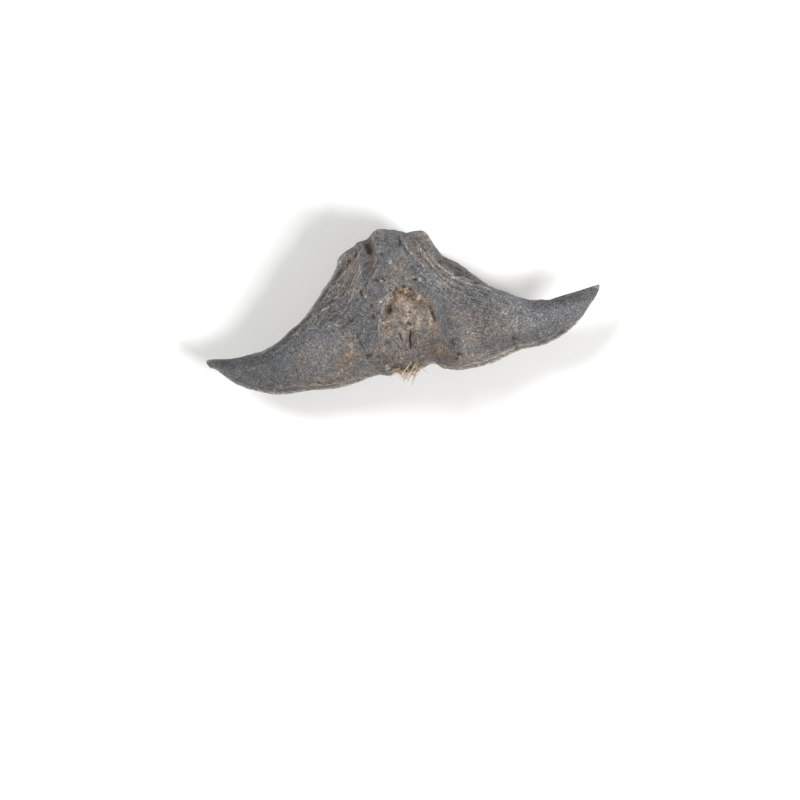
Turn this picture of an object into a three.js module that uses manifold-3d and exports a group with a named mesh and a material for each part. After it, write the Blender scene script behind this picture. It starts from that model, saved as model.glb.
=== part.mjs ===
// One whole dried water caltrop nut, lying on its back with its broad face up.
// The nut grew as one piece: a flattened body with a knobbly stalk end (+Y), a blunt
// far end (-Y) with a small germination pore in a ring of stiff bristles, and two
// horns that sweep out along X and turn up at the tips. Units are millimetres.

import * as THREE from "three";
import { mergeVertices } from "three/addons/utils/BufferGeometryUtils.js";
import Module from "manifold-3d";

// The outline and thickness of the nut, from the left tip to the right tip. Each row is
// one cut across it: x and y of its upper edge, x and y of its lower edge, half thickness.
// x and y are measured from the pore.
const CUTS = [
  [-36.1, 7.5, -36.1, 7.5, 0],
  [-35.7, 8.0, -35.6, 7.0, 0.6],
  [-33.4, 7.8, -34.2, 6.3, 1.0],
  [-29.6, 7.4, -31.2, 3.4, 1.9],
  [-24.3, 8.3, -26.2, 0.8, 3.0],
  [-18.8, 10.8, -20.0, -0.3, 4.3],
  [-13.8, 15.3, -13.4, -0.5, 6.0],
  [-9.4, 20.0, -7.8, -0.5, 7.8],
  [-5.0, 24.1, -3.6, 0.2, 8.9],
  [1.4, 25.5, 0.8, 0.1, 9.2],
  [7.8, 24.5, 5.6, 0.6, 8.9],
  [12.2, 20.1, 10.8, -1.4, 7.8],
  [17.6, 15.4, 15.8, -0.7, 6.2],
  [23.2, 10.9, 22.0, 0.8, 4.6],
  [28.4, 9.5, 28.8, 1.6, 3.4],
  [34.0, 9.8, 34.6, 4.4, 2.2],
  [38.0, 10.3, 38.4, 8.3, 0.9],
  [40.0, 10.6, 40.0, 10.6, 0],
];
const BODY_X = 1.6; // the body's middle, across
const BODY_REACH = [5.5, 15]; // where the body starts to be horn, and is all horn
const BELLY = { body: 0.34, horn: 0.46 }; // thickest place, as a share of the cut
const STALK_SIDE_POWER = { body: 2.6, horn: 2.4 }; // 2 is an ellipse, more is boxier
const PORE_SIDE_POWER = { body: 3.0, horn: 1.6 }; // under 2 ends in a sharp edge
const KEEL = { height: 0.4, width: 0.45 }; // the thin lip along the horns' lower edges
const HORN_DROP = { left: -1.5, right: -0.6 }; // how far the tips lie behind the body
const DROP_REACH = [10, 37]; // where they start to, and where their tips are

// The mesh: rings from tip to tip, closer together on the body, and points round a ring.
const RINGS = 100;
const BODY_CLOSENESS = 1.4;
const BODY_POINTS = 78;
const HORN_POINTS = 32;
const CURVE_STEPS = 48;
const PLACE_STEPS = 600;

// The spot that the nut rests on, which is the origin, under its weight.
const REST_X = 1.9;
const REST_Y = 10.4;
const REST_DEPTH = 9.3; // below the middle plane

// The relief of a face counts in full where the skin faces that way by this much, and
// all relief fades out over the last millimetres towards the tips.
const FACING = [-0.1, 0.35];
const TIP_FADE = [1, 9];

// Ridges (height above 0) and furrows (below 0) of the front, as seen from the front.
// They run from the stalk end down the flanks and out along the horns.
const FRONT_LINES = [
  { path: [[4.3, 24.8], [5.8, 21.4], [8.4, 17.6], [12.4, 13.6]], height: 0.55, width: 0.65 },
  { path: [[6.0, 25.2], [10.4, 18.8], [15.2, 14.2], [25.4, 8.9]], height: 0.65, width: 0.65 },
  { path: [[8.2, 25.2], [10.8, 21.4], [15.0, 17.2], [21.0, 12.8]], height: 0.4, width: 0.6 },
  { path: [[-4.0, 25.8], [-3.7, 22.4], [-3.9, 19.2], [-5.2, 16.2]], height: 0.75, width: 0.6 },
  { path: [[-7.0, 23.6], [-11.4, 15.8], [-16.8, 11.0], [-24.0, 7.9]], height: 0.6, width: 0.6 },
  { path: [[-1.9, 25.4], [-2.3, 22.8], [-2.4, 20.6], [-2.8, 17.8]], height: -1.3, width: 0.8 },
  { path: [[5.2, 24.6], [7.6, 20.4], [11.4, 16.2], [15.4, 12.6]], height: -0.5, width: 0.6 },
  { path: [[7.2, 24.4], [9.6, 21.2], [14.2, 16.6], [21.0, 11.9]], height: -0.6, width: 0.7 },
  { path: [[-5.2, 23.4], [-6.6, 19.4], [-9.0, 15.6], [-12.6, 12.6]], height: -0.5, width: 1.1 },
  { path: [[-8.4, 12.4], [-7.2, 9.0], [-6.4, 6.0], [-6.8, 2.4]], height: -0.55, width: 1.3 },
  { path: [[11.0, 13.4], [11.4, 10.0], [11.0, 6.6], [10.6, 2.2]], height: -0.5, width: 1.5 },
  { path: [[2.5, 14.6], [2.9, 12.4], [2.8, 10.4], [2.6, 8.2]], height: 0.5, width: 0.8 },
  { path: [[3.3, 7.9], [3.1, 6.8], [2.7, 5.4], [2.4, 3.9]], height: -0.6, width: 0.4 },
  { path: [[6.9, 12.0], [7.6, 10.6], [8.1, 9.2], [8.2, 7.8]], height: -0.5, width: 0.45 },
];

const LINE_FADE = [0.55, 1]; // the share of its path over which each fades out

// The back has a ridge along each horn, and a furrow on either side of its ribs.
const BACK_LINES = [
  { path: [[7.6, 24.0], [10.4, 18.8], [15.6, 13.8], [25.0, 9.0]], height: 0.6, width: 0.65 },
  { path: [[-6.6, 23.4], [-10.6, 16.8], [-16.2, 11.2], [-24.0, 7.8]], height: 0.6, width: 0.65 },
  { path: [[5.6, 23.4], [9.2, 16.6], [9.6, 9.0], [7.0, 3.0]], height: -1.1, width: 1.0 },
  { path: [[-2.4, 23.4], [-6.2, 16.6], [-6.6, 9.0], [-4.0, 3.0]], height: -1.1, width: 1.0 },
];

// The ribs of the back, which spread in the middle and close up at both ends.
const RIBS = { x: 1.5, y: 12.2, halfWidth: 6.6, halfLength: 10.5, count: 6, height: 0.45 };
const RIB_FADE = { side: [0.85, 1], end: [0.7, 0.92] }; // shares of those half sizes
const WORN = { swell: 0.45, inner: 3.6, outer: 7.2 }; // no ribs where the nut rests

// The arch that frames the middle of the front: a low rim round a sunken panel.
const ARCH = { x: 2.8, y: 4.0, halfWidth: 5.9, rise: 12.2, power: 1.7, foot: 3 };
const ARCH_BOSS = { height: 0.7, fade: [0.9, 1.5] }; // shares of the arch's size
const ARCH_RIM = { height: 0.4, width: 0.1 };
const ARCH_PANEL = { height: -0.55, fade: [0.75, 0.98] };

// Knobs (height above 0) and pits (below 0), wherever they are on the nut.
const BUMPS = [
  { at: [-7.2, 22.4, 1.4], height: 1.3, width: 1.4 },
  { at: [0.2, 24.8, 3.2], height: 2.2, width: 2.7 },
  { at: [1.4, 22.4, 6.2], height: 0.5, width: 2.2 },
  { at: [7.7, 24.0, 0.8], height: 1.4, width: 1.5 },
  { at: [-5.8, 23.2, -3.4], height: 1.2, width: 1.7 },
  { at: [2.4, 24.0, -5.6], height: 1.5, width: 2.2 },
  { at: [8.0, 22.6, -3.6], height: 0.8, width: 1.5 },
  { at: [-2.0, 24.6, 5.0], height: -1.0, width: 0.8 },
  { at: [3.9, 24.8, 4.4], height: -1.0, width: 0.6 },
  { at: [7.0, 24.3, 3.4], height: -0.6, width: 0.5 },
  { at: [-4.7, 23.6, 4.6], height: -0.6, width: 0.5 },
  { at: [-0.2, 11.8, 9.4], height: -0.7, width: 0.8 },
  { at: [2.7, 14.6, 9.2], height: -0.45, width: 1.2 },
  { at: [-15.5, 6.0, 4.8], height: 0.4, width: 3.2 },
  { at: [18.8, 6.2, 5.0], height: 0.45, width: 3.4 },
];

// The round scar where the stalk came off, facing +Y among the knobs.
const SCAR = { x: 1.6, z: -1.2, radius: 2.3, fromY: [21.2, 23.2] };
const SCAR_DISC = { height: -0.6, fade: [0.7, 0.95] };
const SCAR_RIM = { height: 0.4, width: 0.6 };

// The pore at the far end, tilted a little to the front, with a low collar.
const PORE = { at: [1.3, 0.5, 5.0], tilt: 0.45, radius: 0.7, mouth: 1.2, depth: 2.2 };
const COLLAR = { height: 0.6, width: 0.8 };

// The bristles that stand round the pore.
const BRISTLES = 14;
const BRISTLE_LENGTH = [1.8, 2.9]; // how far they stand out of the nut
const BRISTLE_LEAN = [0.15, 0.75];
const BRISTLE_ROOT = 1.4; // how deep they are set in it
const BRISTLE_RADIUS = 0.24;
const BRISTLE_SEED = 7;

// Low swellings all over, so that nothing is perfectly even: waves that each run along
// their own direction (x, y, z, in radians a millimetre) from their own start.
const SWELL = 0.11;
const SWELL_WAVES = [
  [0.42, 0.31, 0.34, 0.4],
  [-0.28, 0.57, 0.29, 1.7],
  [0.63, -0.32, 0.41, 3.1],
  [0.17, 0.75, -0.52, 4.6],
];

const smooth = THREE.MathUtils.smoothstep;
const mix = THREE.MathUtils.lerp;

// A smooth curve along one edge of CUTS, whose z is the half thickness.
function edgeCurve(first) {
  const points = CUTS.map((row) => new THREE.Vector3(row[first], row[first + 1], row[4]));
  return new THREE.CatmullRomCurve3(points, false, "catmullrom", 0.5);
}

const upperEdge = edgeCurve(0);
const lowerEdge = edgeCurve(2);
const tips = [CUTS[0], CUTS[CUTS.length - 1]].map(([x, y]) => new THREE.Vector3(x, y, drop(x)));

// How much a place is body (1) or horn (0), by its distance from the body's middle.
function bodyShare(x) {
  return 1 - smooth(Math.abs(x - BODY_X), BODY_REACH[0], BODY_REACH[1]);
}

// A bell curve: 1 in the middle, fading to nothing about 2.5 widths away.
function bell(distance, width) {
  return Math.exp(-0.5 * (distance / width) ** 2);
}

// One side of a cut, from its upper edge over the belly to its lower edge, as evenly
// spaced points [millimetres up the cut, millimetres out from the middle plane].
function halfSection(share, width, thickness, pieces) {
  const belly = mix(BELLY.horn, BELLY.body, share);
  const points = [];
  for (let i = 0; i <= CURVE_STEPS; i++) {
    const angle = (Math.PI * i) / CURVE_STEPS;
    const up = Math.cos(angle);
    const side = up > 0 ? STALK_SIDE_POWER : PORE_SIDE_POWER;
    const power = 2 / mix(side.horn, side.body, share);
    const reach = Math.abs(up) ** power;
    const along = up > 0 ? belly + (1 - belly) * reach : belly * (1 - reach);
    const out = Math.sin(angle) ** power * thickness;
    const lip = up > 0 ? 0 : KEEL.height * (1 - share) * bell(out, KEEL.width);
    points.push(new THREE.Vector2(along * width - lip, out));
  }
  return new THREE.Path(points).getSpacedPoints(pieces);
}

// How far the horns' middle plane lies behind that of the body.
function drop(x) {
  const [start, end] = DROP_REACH;
  const reach = Math.max(0, Math.abs(x - BODY_X) - start) / (end - start);
  return (x < BODY_X ? HORN_DROP.left : HORN_DROP.right) * reach * reach;
}

// Places along the nut, as parameters of the two edge curves, closer on the body.
function ringPlaces() {
  const middle = (i) => {
    const t = i / PLACE_STEPS;
    return upperEdge.getPoint(t).add(lowerEdge.getPoint(t)).multiplyScalar(0.5);
  };
  const sums = [0];
  for (let i = 1; i <= PLACE_STEPS; i++) {
    const step = middle(i).distanceTo(middle(i - 1));
    sums.push(sums[i - 1] + step * (1 + BODY_CLOSENESS * bodyShare(middle(i).x)));
  }
  const places = [];
  let i = 0;
  for (let count = 1; count < RINGS; count++) {
    const wanted = (sums[PLACE_STEPS] * count) / RINGS;
    while (sums[i + 1] < wanted) {
      i++;
    }
    places.push((i + (wanted - sums[i]) / (sums[i + 1] - sums[i])) / PLACE_STEPS);
  }
  return places;
}

// The points round the nut at one place along it: over the front, then under the back.
function ring(t) {
  const upper = upperEdge.getPoint(t);
  const lower = lowerEdge.getPoint(t);
  const width = Math.hypot(upper.x - lower.x, upper.y - lower.y);
  const share = bodyShare((upper.x + lower.x) / 2);
  const pieces = Math.round(mix(HORN_POINTS, BODY_POINTS, share) / 2);
  const half = halfSection(share, width, upper.z, pieces);
  const place = (p, side) => {
    const x = mix(lower.x, upper.x, p.x / width);
    const y = mix(lower.y, upper.y, p.x / width);
    return new THREE.Vector3(x, y, drop(x) + side * p.y);
  };
  const front = half.map((p) => place(p, 1));
  const back = half.slice(1, -1).reverse().map((p) => place(p, -1));
  return front.concat(back);
}

// Fills the strip between two rings, which may differ in how many points they have.
// Each ring is given as its number of points and the index of its first point. The
// diagonals run the way the ridges do: away from the body's middle, on both faces.
function strip(a, b, onRight) {
  const faces = [];
  let i = 0;
  let j = 0;
  while (i < a.count || j < b.count) {
    const onA = a.first + (i % a.count);
    const onB = b.first + (j % b.count);
    const ahead = (j + 1) / b.count - (i + 1) / a.count;
    const onBack = i / a.count >= 0.5;
    const stepOnA = Math.abs(ahead) < 1e-9 ? onRight === onBack : ahead > 0;
    if (j === b.count || (i < a.count && stepOnA)) {
      i++;
      faces.push(onA, a.first + (i % a.count), onB);
    } else {
      j++;
      faces.push(onA, b.first + (j % b.count), onB);
    }
  }
  return faces;
}

// The smooth nut, before its ridges and knobs, as one closed indexed geometry.
function smoothNut() {
  const rings = ringPlaces().map(ring);
  const points = [tips[0]];
  const spans = rings.map((around) => {
    const first = points.length;
    points.push(...around);
    return { first, count: around.length };
  });
  const last = points.push(tips[1]) - 1;
  const faces = [];
  spans.forEach((span, r) => {
    const next = spans[r + 1];
    if (next) faces.push(...strip(span, next, points[span.first].x > BODY_X));
  });
  const cap = (tip, { first, count }, turned) => {
    for (let i = 0; i < count; i++) {
      const pair = [first + i, first + ((i + 1) % count)];
      faces.push(tip, ...(turned ? pair.reverse() : pair));
    }
  };
  cap(0, spans[0], true);
  cap(last, spans[spans.length - 1], false);
  return new THREE.BufferGeometry().setFromPoints(points).setIndex(faces);
}

// A ridge or furrow as short steps along its path, ready to be measured from.
function lineSteps({ path }) {
  const points = path.map(([x, y]) => new THREE.Vector3(x, y, 0));
  return new THREE.CatmullRomCurve3(points, false, "catmullrom", 0.5).getPoints(CURVE_STEPS);
}

// The height of one ridge or furrow at a place, fading out at its far end.
function lineHeight(line, x, y) {
  let nearest = Infinity;
  let step = 0;
  line.steps.forEach((p, i) => {
    const distance = Math.hypot(p.x - x, p.y - y);
    if (distance < nearest) {
      nearest = distance;
      step = i;
    }
  });
  const fade = 1 - smooth(step / CURVE_STEPS, ...LINE_FADE);
  return line.height * bell(nearest, line.width) * fade;
}

// The arched frame in the middle of the front.
function archHeight(x, y) {
  const across = (x - ARCH.x) / ARCH.halfWidth;
  const up = Math.max(0, y - ARCH.y) / ARCH.rise;
  const ratio = (Math.abs(across) ** ARCH.power + up ** ARCH.power) ** (1 / ARCH.power);
  const boss = ARCH_BOSS.height * (1 - smooth(ratio, ...ARCH_BOSS.fade));
  const rim = ARCH_RIM.height * bell(ratio - 1, ARCH_RIM.width);
  const panel = ARCH_PANEL.height * (1 - smooth(ratio, ...ARCH_PANEL.fade));
  return smooth(y, 0, ARCH.foot) * (boss + rim + panel);
}

// The ribs of the back, as waves across a long oval, with a low pad where the nut rests.
function ribHeight(x, y) {
  const along = (y - RIBS.y) / RIBS.halfLength;
  const narrowing = Math.sqrt(Math.max(0.05, 1 - along * along));
  const across = (x - RIBS.x) / (RIBS.halfWidth * narrowing);
  const sides = 1 - smooth(Math.abs(across), ...RIB_FADE.side);
  const ends = 1 - smooth(Math.abs(along), ...RIB_FADE.end);
  const waves = RIBS.height * Math.cos(across * RIBS.count * Math.PI) * sides * ends;
  const worn = 1 - smooth(Math.hypot(x - REST_X, y - REST_Y), WORN.inner, WORN.outer);
  return mix(waves, WORN.swell, worn);
}

// The stalk scar: a thin rim round a sunken disc.
function scarHeight(p) {
  const out = Math.hypot(p.x - SCAR.x, p.z - SCAR.z);
  const disc = SCAR_DISC.height * (1 - smooth(out / SCAR.radius, ...SCAR_DISC.fade));
  const rim = SCAR_RIM.height * bell(out - SCAR.radius, SCAR_RIM.width);
  return smooth(p.y, ...SCAR.fromY) * (disc + rim);
}

// The low collar round the pore.
function collarHeight(p) {
  const [x, y, z] = PORE.at;
  const out = Math.hypot(p.x - x, p.y - y, p.z - z);
  return COLLAR.height * bell(out - PORE.mouth, COLLAR.width);
}

function swelling(p) {
  const sum = SWELL_WAVES.reduce(
    (total, [a, b, c, start]) => total + Math.sin(a * p.x + b * p.y + c * p.z + start),
    0,
  );
  return SWELL * sum;
}

const frontLines = FRONT_LINES.map((line) => ({ ...line, steps: lineSteps(line) }));
const backLines = BACK_LINES.map((line) => ({ ...line, steps: lineSteps(line) }));

// How far the skin stands out from the smooth nut at a place that faces a given way.
function relief(p, facing) {
  const front = smooth(facing.z, ...FACING);
  const back = smooth(-facing.z, ...FACING);
  const sum = (lines) => lines.reduce((total, line) => total + lineHeight(line, p.x, p.y), 0);
  let height = front * (sum(frontLines) + archHeight(p.x, p.y));
  height += back * (sum(backLines) + ribHeight(p.x, p.y));
  for (const { at, height: rise, width } of BUMPS) {
    height += rise * bell(Math.hypot(p.x - at[0], p.y - at[1], p.z - at[2]), width);
  }
  height += scarHeight(p) + collarHeight(p);
  const toTip = Math.min(p.distanceTo(tips[0]), p.distanceTo(tips[1]));
  return (height + swelling(p)) * smooth(toTip, ...TIP_FADE);
}

// Raises the ridges, knobs and arch from the smooth nut.
function raiseRelief(geometry) {
  geometry.computeVertexNormals();
  const { position, normal } = geometry.attributes;
  const p = new THREE.Vector3();
  const n = new THREE.Vector3();
  for (let i = 0; i < position.count; i++) {
    p.fromBufferAttribute(position, i);
    n.fromBufferAttribute(normal, i);
    const moved = p.clone().addScaledVector(n, relief(p, n));
    position.setXYZ(i, moved.x, moved.y, moved.z);
  }
  return geometry;
}

const wasm = await Module();
wasm.setup();

// A three.js geometry as a solid that can be cut and joined.
function solid(geometry) {
  const plain = geometry.clone();
  plain.deleteAttribute("normal");
  plain.deleteAttribute("uv");
  const merged = mergeVertices(plain, 1e-4);
  return new wasm.Manifold(
    new wasm.Mesh({
      numProp: 3,
      vertProperties: merged.attributes.position.array,
      triVerts: new Uint32Array(merged.index.array),
    }),
  );
}

// A solid back as a three.js geometry.
function geometryOf(made) {
  const mesh = made.getMesh();
  const geometry = new THREE.BufferGeometry();
  geometry.setAttribute("position", new THREE.BufferAttribute(mesh.vertProperties, 3));
  geometry.setIndex(new THREE.BufferAttribute(mesh.triVerts, 1));
  geometry.computeVertexNormals();
  return geometry;
}

// What is cut away under the nut, so that it rests on a small flat spot.
function underTheNut() {
  const size = 40;
  const block = new THREE.BoxGeometry(size, size, size);
  block.translate(REST_X, REST_Y, -REST_DEPTH - size / 2);
  return solid(block);
}

// Moves a geometry from the origin, pointing along +Y, to the pore, pointing out of it.
function toPore(geometry) {
  geometry.rotateX(Math.PI - PORE.tilt);
  geometry.translate(...PORE.at);
  return geometry;
}

// The tapered hole of the pore.
function poreHole() {
  const outside = 2;
  const length = PORE.depth + outside;
  const hole = new THREE.CylinderGeometry(PORE.mouth, PORE.radius, length, 12);
  hole.translate(0, length / 2 - PORE.depth, 0);
  return solid(toPore(hole));
}

// A repeatable draw of numbers from 0 to 1.
function seededDraw(seed) {
  let state = seed;
  return () => {
    state = (state * 16807) % 2147483647;
    return state / 2147483647;
  };
}

// Stiff three-sided bristles in a ring round the pore, leaning outwards.
function bristles() {
  const draw = seededDraw(BRISTLE_SEED);
  const made = [];
  for (let i = 0; i < BRISTLES; i++) {
    const turn = ((i + 0.6 * draw()) / BRISTLES) * Math.PI * 2;
    const length = mix(...BRISTLE_LENGTH, draw()) + BRISTLE_ROOT;
    const bristle = new THREE.ConeGeometry(BRISTLE_RADIUS, length, 3);
    bristle.translate(0, length / 2 - BRISTLE_ROOT, 0);
    bristle.rotateZ(-mix(...BRISTLE_LEAN, draw()));
    bristle.translate(PORE.mouth + BRISTLE_RADIUS, 0, 0);
    bristle.rotateY(turn);
    made.push(solid(toPore(bristle)));
  }
  return made;
}

let whole = solid(raiseRelief(smoothNut())).subtract(poreHole());
for (const bristle of bristles()) {
  whole = whole.add(bristle);
}
whole = whole.subtract(underTheNut());

const skin = new THREE.MeshStandardMaterial({ color: 0x797573, roughness: 0.85, metalness: 0 });
const nut = new THREE.Mesh(geometryOf(whole), skin);
nut.name = "nut";
nut.position.set(-REST_X, -REST_Y, REST_DEPTH);

const caltrop = new THREE.Group();
caltrop.add(nut);

export default caltrop;
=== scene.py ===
# %% [markdown]
# # A dried water caltrop nut
# The nut is the hard fruit of a floating water plant. It grew as one piece: a flattened body with
# a knobbly stalk end, a small pore at the other end with a tuft of stiff hairs, and two horns that
# sweep out and turn up. It has been dried, so its skin is dull, grey and dusty. This script makes
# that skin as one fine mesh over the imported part, adds the hairs, and lights it like a studio shot.

import bpy
import numpy as np
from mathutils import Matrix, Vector, noise


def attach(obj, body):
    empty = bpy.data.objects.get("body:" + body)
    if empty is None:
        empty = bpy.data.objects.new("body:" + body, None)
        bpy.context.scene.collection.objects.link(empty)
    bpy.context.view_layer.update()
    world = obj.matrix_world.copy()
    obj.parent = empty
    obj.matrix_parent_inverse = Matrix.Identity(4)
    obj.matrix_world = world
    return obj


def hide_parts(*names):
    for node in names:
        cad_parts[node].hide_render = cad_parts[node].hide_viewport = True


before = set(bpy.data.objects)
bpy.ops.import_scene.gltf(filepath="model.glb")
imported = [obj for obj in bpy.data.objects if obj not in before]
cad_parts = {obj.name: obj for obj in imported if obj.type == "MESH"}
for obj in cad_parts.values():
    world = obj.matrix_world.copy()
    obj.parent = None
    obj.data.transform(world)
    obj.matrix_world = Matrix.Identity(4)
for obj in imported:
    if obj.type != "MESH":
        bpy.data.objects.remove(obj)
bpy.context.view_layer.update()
MM = 0.001
print("nodes:", list(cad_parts))

# %% [markdown]
# ## The outline
# Every number here is in millimetres from the pore. x runs along the horns, y towards the stalk
# end and z out of the broad face that shows. Each row is one cut across the nut: its upper edge,
# its lower edge and its half thickness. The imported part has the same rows, so both agree.

# %% Outline and thickness of the nut
CUTS = np.array([
    [-36.1, 7.5, -36.1, 7.5, 0],
    [-35.7, 8.0, -35.6, 7.0, 0.6],
    [-33.4, 7.8, -34.2, 6.3, 1.0],
    [-29.6, 7.4, -31.2, 3.4, 1.9],
    [-24.3, 8.3, -26.2, 0.8, 3.0],
    [-18.8, 10.8, -20.0, -0.3, 4.3],
    [-13.8, 15.3, -13.4, -0.5, 6.0],
    [-9.4, 20.0, -7.8, -0.5, 7.8],
    [-5.0, 24.1, -3.6, 0.2, 8.9],
    [1.4, 25.5, 0.8, 0.1, 9.2],
    [7.8, 24.5, 5.6, 0.6, 8.9],
    [12.2, 20.1, 10.8, -1.4, 7.8],
    [17.6, 15.4, 15.8, -0.7, 6.2],
    [23.2, 10.9, 22.0, 0.8, 4.6],
    [28.4, 9.5, 28.8, 1.6, 3.4],
    [34.0, 9.8, 34.6, 4.4, 2.2],
    [38.0, 10.3, 38.4, 8.3, 0.9],
    [40.0, 10.6, 40.0, 10.6, 0],
])
REST = np.array([1.9, 10.4, -9.3])  # the spot it rests on, which is the origin
BODY_X = 1.6


def smooth(value, low, high):
    """Rises from 0 at low to 1 at high with no corners."""
    share = np.clip((np.asarray(value) - low) / (high - low), 0, 1)
    return share * share * (3 - 2 * share)


def bell(distance, width):
    """1 in the middle, fading to nothing about 2.5 widths away."""
    return np.exp(-0.5 * (distance / width) ** 2)


def curve_through(points, place):
    """Points of a smooth curve through the given ones, for places from 0 to 1."""
    ends = [2 * points[0] - points[1], 2 * points[-1] - points[-2]]
    row = np.vstack([ends[0], points, ends[1]])
    spot = np.clip(place, 0, 1) * (len(points) - 1)
    i = np.minimum(spot.astype(int), len(points) - 2)
    w = (spot - i)[:, None]
    a, b, c, d = row[i], row[i + 1], row[i + 2], row[i + 3]
    m, n = (c - a) / 2, (d - b) / 2
    return (2 * b - 2 * c + m + n) * w**3 + (3 * c - 3 * b - 2 * m - n) * w**2 + m * w + b


print("cuts:", len(CUTS), "tip to tip:", CUTS[-1, 0] - CUTS[0, 0], "mm")

# %% [markdown]
# ## The smooth nut
# The nut is first made without its ridges, as rings from one tip to the other. A ring's shape
# changes along the nut: on the body it is a rounded block with a flat pore side, and on the horns a
# lens with a thin lip along its lower edge. The rings lie closer together on the body, where the
# detail is. A grid of rings can be moved in and out afterwards, and needs no sculpting.

# %% The nut's section
RINGS = 355
FRONT_POINTS, BACK_POINTS = 162, 118
AROUND = FRONT_POINTS + BACK_POINTS
BODY_CLOSENESS = 1.3
BELLY = (0.46, 0.34)  # thickest place, as a share of the cut: horn, body
STALK_SIDE_POWER = (2.4, 2.6)
PORE_SIDE_POWER = (1.6, 3.0)
KEEL_HEIGHT, KEEL_WIDTH = 0.5, 0.3
SECTION_SAMPLES, LENGTH_SAMPLES = 160, 1201  # points that a curve is measured with


def body_share(x):
    """1 on the body, 0 on the horns."""
    return 1 - smooth(np.abs(x - BODY_X), 5.5, 15)


def drop(x):
    """How far the horns' middle plane lies behind the body's."""
    reach = np.maximum(0, np.abs(x - BODY_X) - 10) / 27
    return np.where(x < BODY_X, -1.5, -0.6) * reach**2


def half_section(share, width, thickness, count):
    """One side of a cut from its upper to its lower edge, in even steps."""
    angle = np.linspace(0, np.pi, SECTION_SAMPLES)
    up = np.cos(angle)
    horn, body = np.where(up[:, None] > 0, STALK_SIDE_POWER, PORE_SIDE_POWER).T
    power = 2 / (horn + (body - horn) * share)
    belly = BELLY[0] + (BELLY[1] - BELLY[0]) * share
    reach = np.abs(up) ** power
    along = np.where(up > 0, belly + (1 - belly) * reach, belly * (1 - reach))
    out = np.abs(np.sin(angle)) ** power * thickness
    lip = KEEL_HEIGHT * (1 - 0.75 * share) * (bell(out, KEEL_WIDTH) - 0.3 * bell(out - 0.9, 0.28))
    along = along * width - np.where(up > 0, 0, lip)
    walked = np.concatenate([[0], np.cumsum(np.hypot(np.diff(along), np.diff(out)))])
    even = np.linspace(0, walked[-1], count + 1)
    return np.interp(even, walked, along) / width, np.interp(even, walked, out)


print("points on the front of a ring:", FRONT_POINTS, "on its back:", BACK_POINTS)

# %% Rings from tip to tip
places = np.linspace(0, 1, LENGTH_SAMPLES)
middle = (curve_through(CUTS[:, :2], places) + curve_through(CUTS[:, 2:4], places)) / 2
steps = np.hypot(*np.diff(middle, axis=0).T) * (1 + BODY_CLOSENESS * body_share(middle[1:, 0]))
walked = np.concatenate([[0], np.cumsum(steps)])
places = np.interp(np.linspace(0, walked[-1], RINGS + 1)[1:-1], walked, places)
uppers = curve_through(CUTS[:, [0, 1, 4]], places)
lowers = curve_through(CUTS[:, [2, 3, 4]], places)

grid = np.zeros((len(places), AROUND, 3))
up_share = np.zeros((len(places), AROUND))
edge_out = np.zeros((len(places), AROUND))
rise = np.zeros((len(places), AROUND))  # how far above the lower edge
below = np.zeros((len(places), AROUND))  # how far below the upper edge
for r, (upper, lower) in enumerate(zip(uppers, lowers)):
    width = np.hypot(*(upper[:2] - lower[:2]))
    share = body_share((upper[0] + lower[0]) / 2)
    front_along, front_out = half_section(share, width, upper[2], FRONT_POINTS)
    back_along, back_out = half_section(share, width, upper[2], BACK_POINTS)
    along = np.concatenate([front_along, back_along[-2:0:-1]])
    out = np.concatenate([front_out, -back_out[-2:0:-1]])
    grid[r, :, :2] = lower[:2] + along[:, None] * (upper[:2] - lower[:2])
    grid[r, :, 2] = drop(grid[r, :, 0]) + out
    up_share[r] = along
    edge_out[r] = np.abs(out)
    rise[r] = along * width
    below[r] = (1 - along) * width
tips = np.array([[x, y, drop(x)] for x, y in (CUTS[0, :2], CUTS[-1, :2])])
print("rings:", len(grid), "points round each:", AROUND)

# %% [markdown]
# ## Which way the skin faces
# Ridges have to stand straight out of the skin, so each point needs the direction it faces. It
# comes from the steps to its neighbours along the nut and round it.

# %% Directions out of the skin


def facing(points):
    """Unit directions out of a grid of rings."""
    along = np.gradient(points, axis=0)
    around = np.roll(points, -1, axis=1) - np.roll(points, 1, axis=1)
    out = np.cross(around, along)
    return out / np.maximum(np.linalg.norm(out, axis=2, keepdims=True), 1e-9)


MIDDLE_RING, FRONT_POINT = 200, 60  # a place that lies on the front
out_of_skin = facing(grid)
if out_of_skin[MIDDLE_RING, FRONT_POINT, 2] < 0:
    out_of_skin = -out_of_skin
x, y, z = np.moveaxis(grid, 2, 0)
on_front = smooth(out_of_skin[..., 2], -0.1, 0.35)
on_back = smooth(-out_of_skin[..., 2], -0.1, 0.35)
from_tip = np.minimum(*[np.linalg.norm(grid - tip, axis=2) for tip in tips])
print("front points:", int((on_front > 0.5).sum()), "back points:", int((on_back > 0.5).sum()))

# %% [markdown]
# ## Ridges and furrows
# As the fruit ripens, the skin shrinks on to woody strands that run from the stalk end, down the
# flanks and out along the horns. Each strand stands as a ridge with a furrow beside it. They are
# laid along short curves read off the nut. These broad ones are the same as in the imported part.

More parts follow.
